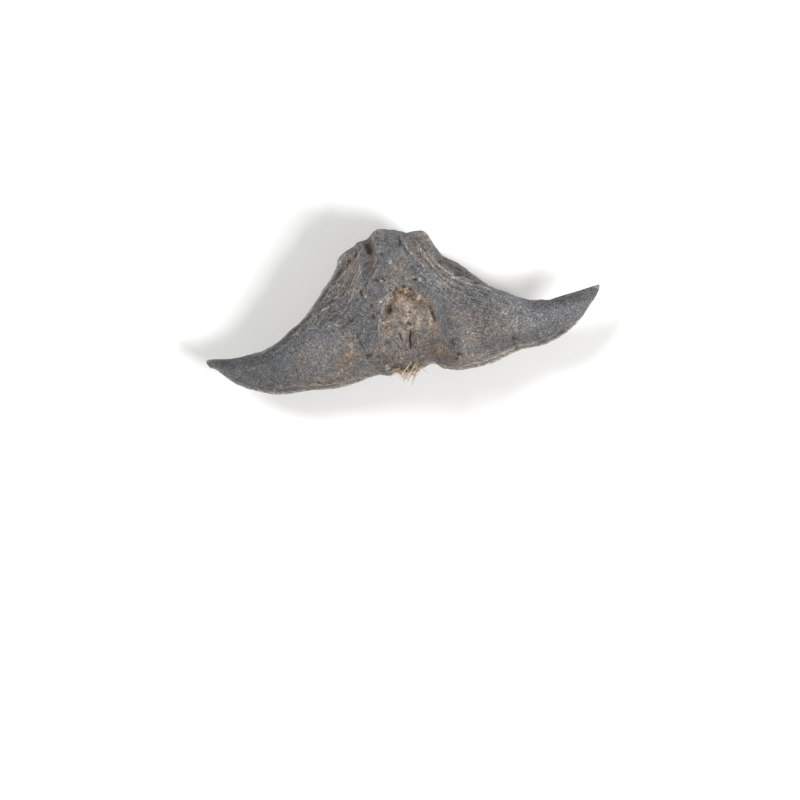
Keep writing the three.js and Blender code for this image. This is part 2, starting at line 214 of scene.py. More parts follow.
# %% Lay the ridges and furrows
FRONT_LINES = [  # path, height (a furrow's is below 0), width
    ([[4.3, 24.8], [5.8, 21.4], [8.4, 17.6], [12.4, 13.6]], 0.55, 0.65),
    ([[6.0, 25.2], [10.4, 18.8], [15.2, 14.2], [25.4, 8.9]], 0.65, 0.65),
    ([[8.2, 25.2], [10.8, 21.4], [15.0, 17.2], [21.0, 12.8]], 0.4, 0.6),
    ([[-4.0, 25.8], [-3.7, 22.4], [-3.9, 19.2], [-5.2, 16.2]], 0.75, 0.6),
    ([[-7.0, 23.6], [-11.4, 15.8], [-16.8, 11.0], [-24.0, 7.9]], 0.6, 0.6),
    ([[-1.9, 25.4], [-2.3, 22.8], [-2.4, 20.6], [-2.8, 17.8]], -1.3, 0.8),
    ([[5.2, 24.6], [7.6, 20.4], [11.4, 16.2], [15.4, 12.6]], -0.5, 0.6),
    ([[7.2, 24.4], [9.6, 21.2], [14.2, 16.6], [21.0, 11.9]], -0.6, 0.7),
    ([[-5.2, 23.4], [-6.6, 19.4], [-9.0, 15.6], [-12.6, 12.6]], -0.5, 1.1),
    ([[-8.4, 12.4], [-7.2, 9.0], [-6.4, 6.0], [-6.8, 2.4]], -0.55, 1.3),
    ([[11.0, 13.4], [11.4, 10.0], [11.0, 6.6], [10.6, 2.2]], -0.5, 1.5),
    ([[2.5, 14.6], [2.9, 12.4], [2.8, 10.4], [2.6, 8.2]], 0.5, 0.8),
    ([[3.3, 7.9], [3.1, 6.8], [2.7, 5.4], [2.4, 3.9]], -0.6, 0.4),
    ([[6.9, 12.0], [7.6, 10.6], [8.1, 9.2], [8.2, 7.8]], -0.5, 0.45),
]
BACK_LINES = [
    ([[7.6, 24.0], [10.4, 18.8], [15.6, 13.8], [25.0, 9.0]], 0.6, 0.65),
    ([[-6.6, 23.4], [-10.6, 16.8], [-16.2, 11.2], [-24.0, 7.8]], 0.6, 0.65),
    ([[5.6, 23.4], [9.2, 16.6], [9.6, 9.0], [7.0, 3.0]], -1.1, 1.0),
    ([[-2.4, 23.4], [-6.2, 16.6], [-6.6, 9.0], [-4.0, 3.0]], -1.1, 1.0),
]


def from_line(path, px, py):
    """Distance of every point from a curve, and how far along it the nearest place is."""
    curve = curve_through(np.array(path, float), np.linspace(0, 1, 41))
    low, high = curve.min(axis=0) - 4, curve.max(axis=0) + 4
    near = (px > low[0]) & (px < high[0]) & (py > low[1]) & (py < high[1])
    qx, qy = px[near], py[near]
    best, at = np.full(qx.shape, 99.0), np.zeros(qx.shape)
    for i, (start, step) in enumerate(zip(curve, np.diff(curve, axis=0))):
        share = np.clip(((qx - start[0]) * step[0] + (qy - start[1]) * step[1]) / (step @ step), 0, 1)
        distance = np.hypot(qx - start[0] - share * step[0], qy - start[1] - share * step[1])
        at = np.where(distance < best, (i + share) / 40, at)
        best = np.minimum(best, distance)
    distance, place = np.full(px.shape, 99.0), np.zeros(px.shape)
    distance[near], place[near] = best, at
    return distance, place


NARROW = 1.2  # wider furrows hold no dust
broad, furrow = np.zeros(x.shape), np.zeros(x.shape)
for lines, side in ((FRONT_LINES, on_front), (BACK_LINES, on_back)):
    for path, height, wide in lines:
        distance, at = from_line(path, x, y)
        form = bell(distance, wide) * side * (1 - smooth(at, 0.55, 1))
        broad += height * form
        if height < 0 and wide < NARROW:
            furrow = np.maximum(furrow, form)
print("ridges and furrows:", len(FRONT_LINES) + len(BACK_LINES))

# %% [markdown]
# ## Arch, ribs, knobs, scar and pore collar
# In the middle of the front, a low arch frames a sunken, rough panel. The back has a fan of ribs
# there instead, as other nuts of this kind show, with a low pad where it rests. The stalk end has
# knobs and pits round the round scar of the stalk, and the pore sits in a low collar.

# %% Tables of the larger forms
BUMPS = [  # x, y, z, height, width
    (-7.2, 22.4, 1.4, 1.3, 1.4), (0.2, 24.8, 3.2, 2.2, 2.7), (1.4, 22.4, 6.2, 0.5, 2.2),
    (7.7, 24.0, 0.8, 1.4, 1.5), (-5.8, 23.2, -3.4, 1.2, 1.7), (2.4, 24.0, -5.6, 1.5, 2.2),
    (8.0, 22.6, -3.6, 0.8, 1.5), (-2.0, 24.6, 5.0, -1.0, 0.8), (3.9, 24.0, 5.0, -0.6, 0.5),
    (7.0, 24.3, 3.4, -0.6, 0.5), (-4.7, 23.6, 4.6, -0.6, 0.5), (-0.2, 11.8, 9.4, -0.7, 0.8),
    (2.7, 14.6, 9.2, -0.45, 1.2), (-15.5, 6.0, 4.8, 0.4, 3.2), (18.8, 6.2, 5.0, 0.45, 3.4),
    (4.4, 25.0, 1.2, 0.35, 1.2), (-2.4, 25.0, 0.8, 0.2, 1.1), (-0.8, 26.8, 0.6, -0.35, 1.2),
    (-5.8, 24.3, 0.4, 0.6, 1.1), (16.0, 17.2, 0.4, -0.5, 1.3),
]
SWELL_WAVES = [  # waves a mm along x, y and z, and where they start
    (0.42, 0.31, 0.34, 0.4), (-0.28, 0.57, 0.29, 1.7),
    (0.63, -0.32, 0.41, 3.1), (0.17, 0.75, -0.52, 4.6),
]
PORE = np.array([1.8, 0.5, 5.0])
RIB_HEIGHT = 0.45
print("bumps:", len(BUMPS), "waves:", len(SWELL_WAVES))

# %% Arch on the front, ribs on the back
across, upward = (x - 2.8) / 5.9, np.maximum(0, y - 4) / 12.2
arch = (np.abs(across) ** 1.7 + upward**1.7) ** (1 / 1.7)  # 1 on the arch, less inside
foot = smooth(y, 0, 3) * on_front
arch_form = 0.7 * (1 - smooth(arch, 0.9, 1.5)) + 0.15 * bell(arch - 1, 0.08) * smooth(y, 5, 9)
arch_form -= 0.55 * (1 - smooth(arch, 0.75, 0.98)) * smooth(y, 2.5, 8.5)

rib_along = (y - 12.2) / 10.5
rib_across = (x - 1.5) / (6.6 * np.sqrt(np.maximum(0.05, 1 - rib_along**2)))
rib_waves = np.cos((rib_across + 0.03 * np.sin(0.7 * y)) * 6 * np.pi)
ribs = RIB_HEIGHT * rib_waves * (0.8 + 0.3 * np.sin(2.1 * x + 0.6 * y))
ribs *= (1 - smooth(np.abs(rib_across), 0.85, 1)) * (1 - smooth(np.abs(rib_along), 0.7, 0.92))
pad = 1 - smooth(np.hypot(x - REST[0], y - REST[1]), 3.6, 7.2)
ribs *= smooth(rib_along, -0.85, -0.5)
ribs = ribs + (RIB_HEIGHT - ribs) * pad
print("arch, mm:", arch_form.max().round(2), "ribs, mm:", ribs.max().round(2))

# %% Knobs, scar and pore collar
bumps = np.zeros(x.shape)
for bx, by, bz, height, wide in BUMPS:
    bumps += height * bell(np.sqrt((x - bx) ** 2 + (y - by) ** 2 + (z - bz) ** 2), wide)

from_scar = np.hypot(x - 1.6, z + 1.2) / 2.3
scar_side = smooth(y, 21.2, 23.2)
scar = -0.6 * (1 - smooth(from_scar, 0.7, 0.95)) + 0.4 * bell((from_scar - 1) * 2.3, 0.6)
from_pore = np.linalg.norm(grid - PORE, axis=2)
collar = 0.6 * bell(from_pore - 1.2, 0.8)
swell = 0.11 * sum(np.sin(a * x + b * y + c * z + d) for a, b, c, d in SWELL_WAVES)

relief = broad + foot * arch_form + on_back * ribs + bumps + scar_side * scar + collar + swell
print("relief, mm:", relief.min().round(2), "to", relief.max().round(2))

# %% [markdown]
# ## The way the fibres run
# The woody strands under the skin leave fine lines on it. On the body they run like the ridges,
# down from the stalk end and outwards; on the horns they run to the tip. Two numbers follow them:
# one says how far across the fibres a place is, the other how far along. Noise that is long in
# one and short in the other gives fibres that follow the shape.

# %% Follow the fibres
reach_x, reach_y = np.abs(x - 1.5) + 9.8, y + 2
on_horn = smooth(np.abs(x - 1.5), 16, 24)
fibre_across = (1 - on_horn) * reach_x * reach_y / 28 + on_horn * (2.3 + 12 * up_share)
fibre_along = (1 - on_horn) * (reach_x**2 - reach_y**2) / 56
fibre_along += on_horn * (np.abs(x - 1.5) - 5.4)
fibre_side = 0.5 * z + 0.16 * (x - 1.5)
flow = np.stack([fibre_across, fibre_along, fibre_side], axis=2)


def noise_at(points, scale):
    """Smooth noise, about -1 to 1, at every point of a grid, finer for a larger scale."""
    scaled = (points * scale).reshape(-1, 3)
    return np.array([noise.noise(Vector(p)) for p in scaled]).reshape(points.shape[:2])


on_flank = smooth(fibre_across, 8.2, 10.4) * (1 - 0.6 * on_horn) * on_front
on_flank = np.maximum(on_flank, 0.6 * smooth(y, 17, 22))
strands = noise_at(flow, np.array([1.5, 0.09, 1.5])) + 0.5 * noise_at(flow, np.array([3.3, 0.2, 2.8]))
print("fibres run over", round(float(on_flank.mean()), 2), "of the skin")

# %% [markdown]
# ## Thin strands, cracks, pits and grains
# On top of the broad ridges lie single strands, thin as thread, that catch the light. There are
# also ragged cracks, small pits where soft tissue rotted away, and grains of sand and lime stuck in
# the skin. Each is drawn where it shows. A strand stands between two shallow grooves, and a strand
# with a height below 0 is a slit between two ridges. The places are first shaken a little with
# noise, so that no line is as clean as a drawn one.

# %% Tables of strands and cracks
STRANDS = [  # path, height (a slit's is below 0)
    ([[3.7, 24.8], [4.5, 23.3], [5.4, 21.4], [6.7, 19.6], [8.2, 18.0], [10.4, 16.0]], 0.15),
    ([[6.0, 24.6], [7.4, 21.9], [8.8, 19.6], [10.1, 17.5], [11.4, 15.7], [13.2, 14.2], [18.0, 12.2]], 0.24),
    ([[6.9, 21.4], [8.0, 19.2], [9.2, 17.3], [10.6, 15.4], [12.8, 13.6], [20.0, 10.9]], 0.1),
    ([[8.0, 22.3], [9.7, 19.7], [11.3, 17.3], [13.2, 15.4], [16.0, 13.8], [24.0, 10.6]], 0.1),
    ([[8.2, 23.9], [10.6, 21.1], [13.0, 18.5], [16.0, 15.9], [19.4, 13.9], [26.0, 10.8]], 0.11),
    ([[8.9, 24.2], [11.2, 21.2], [13.8, 18.6], [17.0, 16.0], [20.6, 13.9], [26.0, 11.4]], 0.1),
    ([[-0.8, 13.6], [-1.8, 11.2], [-2.6, 8.6], [-3.2, 5.0]], 0.12),
    ([[5.0, 14.5], [6.1, 13.1], [6.9, 11.9], [7.1, 11.0], [7.2, 9.6]], 0.16),
    ([[-4.0, 25.2], [-4.2, 22.6], [-4.4, 20.4], [-4.8, 18.0]], 0.1),
    ([[-1.1, 25.2], [-0.7, 23.4], [-1.2, 21.6], [-1.1, 19.2]], 0.1),
    ([[-3.9, 17.4], [-2.6, 18.2], [-1.6, 18.9]], 0.12),
    ([[-5.4, 19.6], [-6.0, 17.4], [-6.9, 15.2], [-8.6, 13.4], [-11.4, 12.4]], 0.1),
    ([[-6.8, 20.6], [-8.3, 17.6], [-10.2, 15.0], [-13.4, 12.9]], 0.1),
    ([[-6.2, 22.6], [-8.4, 20.4], [-10.8, 17.4], [-14.4, 14.2]], 0.1),
    ([[-9.0, 15.4], [-11.0, 14.3], [-13.0, 13.1], [-15.6, 11.5], [-18.4, 9.6], [-22.0, 8.0]], 0.09),
    ([[-9.2, 15.9], [-11.0, 14.8], [-13.0, 13.6], [-15.6, 12.0], [-18.4, 10.1], [-22.0, 8.4]], -0.12),
    ([[6.2, 24.3], [8.1, 22.7], [10.0, 20.5], [11.9, 18.6], [13.8, 16.9], [18.0, 13.8]], -0.2),
    ([[6.2, 21.8], [7.5, 19.8], [8.8, 18.0], [10.4, 16.1], [12.6, 14.2], [16.0, 12.4]], -0.12),
    ([[8.6, 23.7], [10.7, 21.0], [13.0, 18.3], [16.0, 15.8], [21.0, 12.9]], -0.1),
]
# The last column says how black the painted shade in a crack is.
CRACKS = [  # path, width, how black
    ([[3.2, 7.8], [3.0, 6.6], [2.8, 5.4], [2.6, 3.6]], 0.12, 1.0),
    ([[0.8, 7.6], [1.1, 6.4], [1.5, 5.2], [2.0, 3.9]], 0.1, 0.65),
    ([[-6.8, 11.7], [-7.8, 10.9], [-9.0, 10.2], [-11.0, 9.9]], 0.2, 0.5),
    ([[-7.3, 9.0], [-7.0, 7.8], [-6.6, 6.4], [-6.2, 5.2], [-5.4, 4.2]], 0.15, 0.36),
    ([[6.9, 12.0], [7.3, 10.9], [7.6, 9.9], [7.9, 8.8], [8.2, 7.2]], 0.2, 0.6),
    ([[2.5, 8.8], [3.1, 8.7], [3.4, 8.3]], 0.14, 0.9),
    ([[-4.9, 16.6], [-4.95, 15.6], [-4.8, 14.4]], 0.2, 0.6),
    ([[-4.3, 23.9], [-4.6, 23.3], [-5.4, 22.8]], 0.16, 0.9),
    ([[-6.0, 22.8], [-6.5, 22.2], [-7.4, 21.2]], 0.1, 0.6),
    ([[5.9, 24.6], [7.0, 23.5], [8.4, 22.2], [10.8, 19.6]], 0.12, 0.4),
    ([[-0.8, 17.8], [0.2, 17.0]], 0.12, 0.6),
    ([[-14.2, 11.3], [-11.2, 11.7], [-8.4, 12.5]], 0.3, 0.25),
    ([[10.2, 4.2], [10.6, 3.6], [10.8, 2.8]], 0.14, 0.4),
    ([[-3.0, 13.2], [-3.3, 10.8], [-3.5, 8.0]], 0.2, 0.15),
    ([[4.9, 16.8], [5.6, 16.6], [6.0, 16.9]], 0.13, 0.5),
]
print("strands:", len(STRANDS), "cracks:", len(CRACKS))

# %% Draw strands and cracks
THREAD_WIDTH, GROOVE_WIDTH = 0.13, 0.15
TO_GROOVE = 0.38  # from the middle of a strand to its groove
FULL_STRAND = 0.2  # a strand this high shows in full colour
shake_x = x + 0.22 * noise_at(grid, 0.9) + 0.12 * noise_at(grid, 2.6)
shake_y = y + 0.22 * noise_at(grid + 20, 0.9) + 0.12 * noise_at(grid + 20, 2.6)
breaks = noise_at(grid + 60, 1.4)
thread, groove, slit, thread_height = (np.zeros(x.shape) for _ in range(4))
for path, height in STRANDS:
    distance, at = from_line(path, x + (shake_x - x) / 4, y + (shake_y - y) / 4)
    ends = on_front * smooth(at, 0, 0.1) * (1 - smooth(at, 0.7, 1))
    form = bell(distance, THREAD_WIDTH) * ends
    if height > 0:
        beside = bell(distance - TO_GROOVE, GROOVE_WIDTH) * ends
        thread_height += height * (form - 0.6 * beside) * (0.9 + 0.25 * breaks)
        clear = min(1, height / FULL_STRAND)
        groove = np.maximum(groove, clear * beside)
        thread = np.maximum(thread, clear * form * np.clip(0.8 + 0.5 * breaks, 0, 1))
    else:
        thread_height += 1.3 * height * form
        furrow = np.maximum(furrow, form)
        slit = np.maximum(slit, form * np.clip(0.7 + 0.6 * breaks, 0, 1))
cracks, crack_rims = np.zeros(x.shape), np.zeros(x.shape)
for path, wide, black in CRACKS:
    distance, at = from_line(path, shake_x, shake_y)
    ends = smooth(at, 0, 0.25) * (1 - smooth(at, 0.7, 1)) * on_front * black
    wide = wide * np.maximum(0.5, 1 + 0.8 * breaks)
    cracks = np.maximum(cracks, bell(distance, wide) * ends)
    crack_rims = np.maximum(crack_rims, bell(distance - 2 * wide, wide) * ends)
    thread_height -= 0.15 * bell(distance, 0.4) * ends
print("strands, mm:", thread_height.min().round(2), "to", thread_height.max().round(2))

# %% Add pits and grains
PITS = [  # x, y, half width, half height, depth
    (-2.1, 24.0, 0.45, 0.8, 0.6), (22.2, 2.9, 0.3, 0.3, 0.2), (3.7, 23.4, 0.28, 0.4, 0.35),
    (-0.25, 11.7, 0.45, 0.55, 0.45), (1.8, 15.3, 0.35, 0.25, 0.3), (3.1, 15.6, 0.4, 0.25, 0.35),
    (4.4, 14.9, 0.3, 0.35, 0.3), (2.4, 14.6, 0.25, 0.2, 0.2), (1.2, 14.6, 0.25, 0.3, 0.2),
    (13.6, 16.4, 0.55, 0.4, 0.3), (16.7, 14.4, 0.5, 0.35, 0.35), (5.4, 16.7, 0.35, 0.25, 0.25),
    (7.7, 9.2, 0.2, 0.8, 0.15), (-1.6, 17.6, 0.4, 0.3, 0.15), (0.6, 15.2, 0.25, 0.2, 0.2),
    (11.0, 19.6, 0.3, 0.3, 0.2), (0.0, 21.9, 0.25, 0.18, 0.2), (11.4, 1.5, 0.5, 0.3, 0.3),
    (10.8, 0.8, 0.35, 0.25, 0.2), (22.4, 1.6, 0.35, 0.25, 0.15), (-5.2, 4.0, 0.45, 0.3, 0.2),
    (-3.3, 10.9, 0.3, 0.4, 0.15), (-3.2, 13.0, 0.35, 0.4, 0.15), (3.5, 10.7, 0.25, 0.2, 0.15),
]
GRAINS = [  # x, y, radius, height
    (-2.15, 1.7, 0.5, 0.26), (4.2, 20.3, 0.2, 0.14), (-1.5, 13.4, 0.35, 0.15), (5.5, 13.0, 0.42, 0.2),
    (-7.5, 21.8, 0.24, 0.14), (5.1, 17.1, 0.34, 0.16), (6.4, 16.4, 0.36, 0.16), (13.6, 15.6, 0.2, 0.14),
    (10.8, 12.4, 0.22, 0.12), (-0.7, 17.3, 0.34, 0.16), (-11.0, 16.0, 0.2, 0.12),
    (-11.3, 14.0, 0.2, 0.12), (-4.2, 14.9, 0.3, 0.14), (1.4, 20.2, 0.35, 0.12), (14.5, 5.2, 0.24, 0.12),
    (-1.4, 9.4, 0.22, 0.12), (3.3, 14.6, 0.22, 0.14),
]
pit, grains = np.zeros(x.shape), np.zeros(x.shape)
for px, py, wide, tall, depth in PITS:
    form = np.exp(-0.5 * (((shake_x - px) / wide) ** 2 + ((shake_y - py) / tall) ** 2) ** 1.5) * on_front
    pit = np.maximum(pit, form)
    thread_height -= depth * form
for px, py, radius, height in GRAINS:
    form = (1 - smooth(np.hypot(shake_x - px, shake_y - py) / radius, 0.6, 1.1)) * on_front
    grains = np.maximum(grains, form)
    thread_height += height * form
print("pits:", len(PITS), "grains:", len(GRAINS))

# %% [markdown]
# ## Roughness of the whole skin
# The rest is noise, stronger or weaker by region: low lumps all over, crumbly old tissue in the
# arch, in the band below the stalk end and round the pore, fibres on the flanks, and chips out of
# the thin lip along the lower edge.

# %% Regions of rough skin


def patch(cx, cy, wide, tall):
    """A soft oval on the front."""
    return np.exp(-(((x - cx) / wide) ** 2) - ((y - cy) / tall) ** 2) * on_front


inside_arch = (1 - smooth(arch, 0.86, 1.0)) * foot
arch_top = inside_arch * smooth(y, 11.5, 14.5)
pore_side = (1 - smooth(y, 0.8, 3.2)) * (1 - smooth(np.abs(x - 2), 9, 15))
band = patch(1.8, 18.2, 4.2, 1.5)
low_front = patch(2.6, 2.2, 7.0, 2.6)
rough = np.clip(inside_arch + 0.8 * pore_side + 0.45 * band + 0.6 * low_front, 0, 1)
print("rough share of the skin:", round(float(rough.mean()), 3))

# %% Lumps, grit and chips
lumps = noise_at(grid, 0.35)
fine_lumps = noise_at(grid, 0.95)
grit = noise_at(grid, 2.1)
fine_grit = noise_at(grid + 10, 3.6)
arch_high = inside_arch * smooth(y + 1.6 * lumps + 1.2 * fine_lumps, 4.5, 10.5)
pitting = smooth(noise_at(grid + 40, 1.5), 0.25, 0.5)
chips = smooth(noise_at(grid + 80, 0.8), 0.0, 0.5)
on_lip = bell(edge_out, 0.3) * (1 - smooth(up_share, 0.1, 0.3)) * (1 - 0.6 * body_share(x))
lobes = 0.5 * (bell(x + 2.2, 0.7) + bell(x - 4.6, 0.6) - 0.9 * bell(x - 6.5, 0.8) - 0.6 * bell(x + 0.6, 0.6))
lobes *= 1 - smooth(y, 0.6, 2.6)
off_body = 1 - body_share(x)
keel_groove = bell(rise - 1.15 - 0.35 * fine_lumps, 0.3) * off_body * (1 - smooth(from_tip, 20, 4))
print("chipped share of the lip:", round(float((chips * on_lip).sum() / on_lip.sum()), 2))

# %% Add up the fine detail
detail = 0.16 * lumps + 0.11 * noise_at(grid + 30, 0.6) + 0.07 * fine_lumps
detail += 0.045 * (grit + fine_grit) * (1 - 0.5 * patch(0.5, 21, 4.5, 3.5))
detail += 0.085 * strands * on_flank + 0.02 * strands
detail += rough * (0.11 * fine_lumps + 0.055 * grit + 0.045 * fine_grit)
detail += arch_top * (0.08 * grit + 0.1 * fine_grit) - 0.1 * keel_groove
detail -= 0.08 * pitting * (0.4 + 0.6 * rough) + 0.5 * cracks
ragged = arch + 0.035 * grit + 0.03 * fine_lumps
detail -= 0.4 * (1 - smooth(ragged, 0.86, 0.93)) * foot * smooth(y, 9, 13)
arch_edge = bell((ragged - 0.88) * 6, 0.28) * foot * smooth(y, 8, 12)
detail *= 1 - 0.6 * on_lip
detail += thread_height + lobes - 0.1 * chips * on_lip
print("fine detail, mm:", detail.min().round(2), "to", detail.max().round(2))

# %% [markdown]
# ## Move the skin
# Every point moves straight out of the smooth nut by its relief, which fades out at the thin tips.
# The pore is pushed in as a small funnel. Last, what would lie below the floor is pressed flat:
# that is the small worn spot that the nut rests on.

# %% Shape the skin
PORE_TILT = 0.65
PORE_OUT = np.array([0, -np.cos(PORE_TILT), np.sin(PORE_TILT)])

moved = grid + out_of_skin * ((relief + detail) * smooth(from_tip, 1, 9))[..., None]
off_axis = moved - PORE
off_axis = off_axis - (off_axis @ PORE_OUT)[..., None] * PORE_OUT
pore_hole = (1 - smooth(np.linalg.norm(off_axis, axis=2), 0.55, 1.25)) * (from_pore < 3)
moved = moved - 2.0 * pore_hole[..., None] * PORE_OUT
skin = moved - REST
skin[..., 2] = np.maximum(skin[..., 2], 0)
tip_points = tips - REST
print("pore points:", int((pore_hole > 0.5).sum()), "flat points:", int((skin[..., 2] == 0).sum()))

# %% [markdown]
# ## Where dust, wear, painted shade and painted highlights lie
# Dust and dried mud stay in hollows, and the hollows also get painted shade. Crests and edges are
# made pale, partly as wear and partly as a painted highlight. Comparing the relief with a blurred
# copy of itself tells the two apart, so the colour of the skin follows its form.

# %% Measure hollows and crests


def blurred(values, reach):
    """Values averaged over their neighbours, round the rings and along the nut."""
    for _ in range(3):
        total = np.zeros(values.shape)
        for shift in range(-reach, reach + 1):
            total += np.roll(values, shift, axis=1)
        values = total / (2 * reach + 1)
        padded = np.pad(values, ((2 * reach, 2 * reach), (0, 0)), mode="edge")
        sums = np.cumsum(np.vstack([np.zeros((1, values.shape[1])), padded]), axis=0)
        values = (sums[4 * reach + 1:] - sums[:-4 * reach - 1]) / (4 * reach + 1)
    return values


total_relief = relief + detail - 1.2 * pore_hole
height_over = total_relief - blurred(total_relief, 3)
hollow = np.clip(-height_over / 0.3, 0, 1)
crests = np.clip(height_over / 0.22 - 0.3, 0, 1)
speckle = 0.5 + 0.9 * grit + 0.5 * fine_grit
streaks = np.clip(0.5 + 1.2 * strands, 0, 1)
print("hollow points:", int((hollow > 0.5).sum()), "crest points:", int((crests > 0.5).sum()))

# %% [markdown]
# ## Patches of dust, light and shade
# Form alone doesn't say it all. Mud dried on in streaks, some places are stained by rust-brown
# tannin, and clean skin looks cooler beside brown skin. Light and shade are painted on as well:
# lighter where the light falls, as on the right horn and along the horns' middles, and darker where
# shade falls, as round the pore and its hairs, in furrows, along the lower edges, on the horns'
# upper sides and on the left horn. Some of the lighter places are paler skin, and some of the darker
# ones darker skin. These places are laid on as soft ovals. In every table below, a row gives an
# oval's middle, half its width, half its height and its amount. GRAINY says where the grain is
# stronger, or weaker.

# %% Tables of patches
DUSTY = [  # x, y, half width, half height, amount
    (-9.2, 7.0, 1.9, 1.3, 0.8), (-9.0, 3.8, 1.8, 0.8, 0.8), (-14, 3, 4, 3, 0.35),
    (-14, 0.2, 6.4, 1.1, 0.75), (-3.3, 3.6, 1.6, 1.8, 0.45), (-4, 15.2, 1.2, 2, 0.4),
    (-7, 19.4, 1.8, 3.4, 0.3), (3.2, 19.4, 2.4, 1.4, 0.35), (14, 5, 2.2, 4, 0.35),
    (19.5, 3.2, 3, 2.2, 0.35), (13, 0, 4, 1.4, 0.35), (7.5, 3, 2.6, 2.2, 0.3),
    (-2.1, 21.8, 0.6, 2.6, 0.4), (6, 13.2, 1, 1, 0.9), (6.9, 7.8, 1.1, 0.8, 1.0),
    (2.6, 14.6, 2.6, 1.6, 0.5), (-1.2, 12.6, 0.7, 0.8, 0.5), (4.2, 13.8, 1.2, 0.8, 0.4),
    (15.2, 8.4, 1.6, 1.2, 0.3), (2, 1, 4, 1.4, 0.3), (-8.6, 4.8, 0.8, 0.8, 0.5), (24, 1.4, 5, 1, 0.25),
    (34, 4.4, 2, 1.2, 0.2), (-35, 7.2, 1.3, 0.9, 0.8), (6, 10.8, 1.3, 1.9, -0.5),
    (0.9, 11.4, 0.5, 1.2, -0.5), (-1.9, 8.8, 0.8, 2.4, 0.35),
]
RUSTY = [
    (8.8, 2.3, 1.2, 0.7, 1.0), (-9.3, 1.6, 0.8, 0.4, 0.5), (7.1, 4.1, 1.9, 1.9, 0.36),
    (8.1, 7, 0.7, 0.6, 0.9), (7, 2.3, 1.2, 0.5, 0.5), (-0.9, 12.4, 0.4, 0.5, 0.7),
    (-2.6, 2.6, 2, 2, 0.22), (12, -0.4, 4, 1, 0.18), (17.6, 6, 2.2, 2.2, 0.12),
    (-8.8, 4.2, 1.2, 0.8, 0.5), (7.7, 9.6, 0.5, 2.2, 0.5), (-9.4, 0.4, 2.8, 0.5, 0.35),
    (6.3, 12.7, 0.6, 0.9, 0.4), (7.1, 11, 0.3, 0.8, 0.5),
]
# Painted light, with some paler skin: highlights along the horns' middles and on the right horn.
PAINTED_LIGHT_AND_PALER_SKIN = [
    (-13.2, 7.6, 4.5, 3.4, 0.38), (-5.4, 15.8, 2.8, 2.8, 0.25), (-2, 13.4, 0.8, 0.7, 0.3),
    (1.5, 14.2, 1.9, 2, 0.55), (4.4, 12.8, 1.1, 1.2, 0.4), (5.6, 10.2, 1.2, 1.4, 0.2),
    (6.7, 8.7, 0.5, 1.2, 0.2), (-5.6, 6.4, 1.4, 2, 0.2), (-4.6, 20, 0.4, 3, 0.3),
    (-5.9, 20.8, 1.5, 2.8, 0.25), (-0.5, 21.6, 0.8, 2, 0.15), (3, 25.3, 1, 0.9, 0.35),
    (3.8, 21.5, 1.8, 1.8, 0.2), (6.4, 21.2, 2.4, 1.5, 0.25), (9.4, 21, 1.5, 3, 0.45),
    (10.4, 16, 3, 2.6, 0.55), (16.6, 14, 2.6, 1.6, 0.3), (13.7, 4.2, 1.5, 3.2, 0.32),
    (23.8, 7.4, 1.9, 2.2, 0.95), (29.4, 5.6, 5.4, 1.7, 0.4), (35.4, 6.8, 3, 1.6, 0.3),
    (-34.4, 6.7, 2.2, 1.4, 0.55), (-17, 10, 2.4, 1.4, 0.14), (-10.6, 0.4, 2, 1, 0.1),
]
# Painted shade, with some darker skin: round the pore and its hairs, along the lower edges, on the left horn,
# on the horns' upper sides and in furrows.
PAINTED_SHADE_AND_DARKER_SKIN = [
    (-26, 2.2, 7, 2.8, 0.25), (-28, 6.6, 6, 1.8, 0.25), (-17.5, 0, 7, 1.2, 0.26),
    (-10.2, 3, 1.8, 1.2, 0.12), (-11.2, 12.4, 2.2, 1.1, 0.28), (-8, 7, 0.9, 1.6, 0.12),
    (-5, 12, 2.5, 4, 0.12), (-0.9, 10.2, 1.3, 1, 0.36), (-3.5, 21.8, 0.55, 3.2, 0.48),
    (-3.6, 19, 0.8, 1.6, 0.3), (1.4, 24, 3, 3.5, 0.12), (4.9, 24.3, 0.9, 0.7, 0.12),
    (6.2, 14.6, 1.2, 1.4, 0.3), (14.2, 18.4, 3.2, 2.1, 0.26), (14.7, 11, 1.5, 2.5, 0.34),
    (9.8, 7.6, 2, 3, 0.18), (17.6, 6.4, 2.5, 3, 0.3), (8.2, 3.5, 3.2, 4, 0.25),
    (18.6, 3, 2.4, 1.6, 0.14), (24, 2, 6.4, 1.7, 0.52), (31.6, 3, 3, 1.3, 0.26),
    (31.4, 8.7, 5.6, 1.3, 0.42), (12.4, -0.6, 3, 0.8, 0.34), (9.6, 0.6, 2, 1.4, 0.38),
    (6.4, 2.2, 2.4, 2, 0.32), (4, 5, 3, 2, 0.1), (0.8, 0.5, 5, 2, 0.45), (-2.9, 1.9, 2.4, 2.2, 0.4),
    (12.2, 17.2, 0.8, 1.2, 0.15),
]
COOLER = [
    (32, 7.4, 8, 3.4, 0.24), (7.6, 21.8, 2.6, 3.8, 0.66), (11.6, 17.6, 3.2, 2.8, 0.3),
    (-9.4, 16, 2.6, 2.2, 0.26), (-9.6, 11.3, 3, 1.4, 0.3), (-18, 7.8, 6, 1.8, 0.2),
    (0.6, 11.2, 1.2, 2.3, 0.56), (-6.2, 7.2, 1.5, 2, 0.4), (23.4, 7, 3, 2.4, 0.1),
    (-26.8, 6.9, 4, 2.4, 0.56), (-6.4, 23.4, 2, 2, 0.26), (-3.3, 23, 1.2, 2.4, 0.42),
    (-1.4, 16.6, 1.4, 1.8, 0.26), (3.2, 22.4, 1.4, 1, 0.24), (17.6, 12, 2, 1.4, 0.18),
    (11, 8, 0.8, 2, 0.15),
]
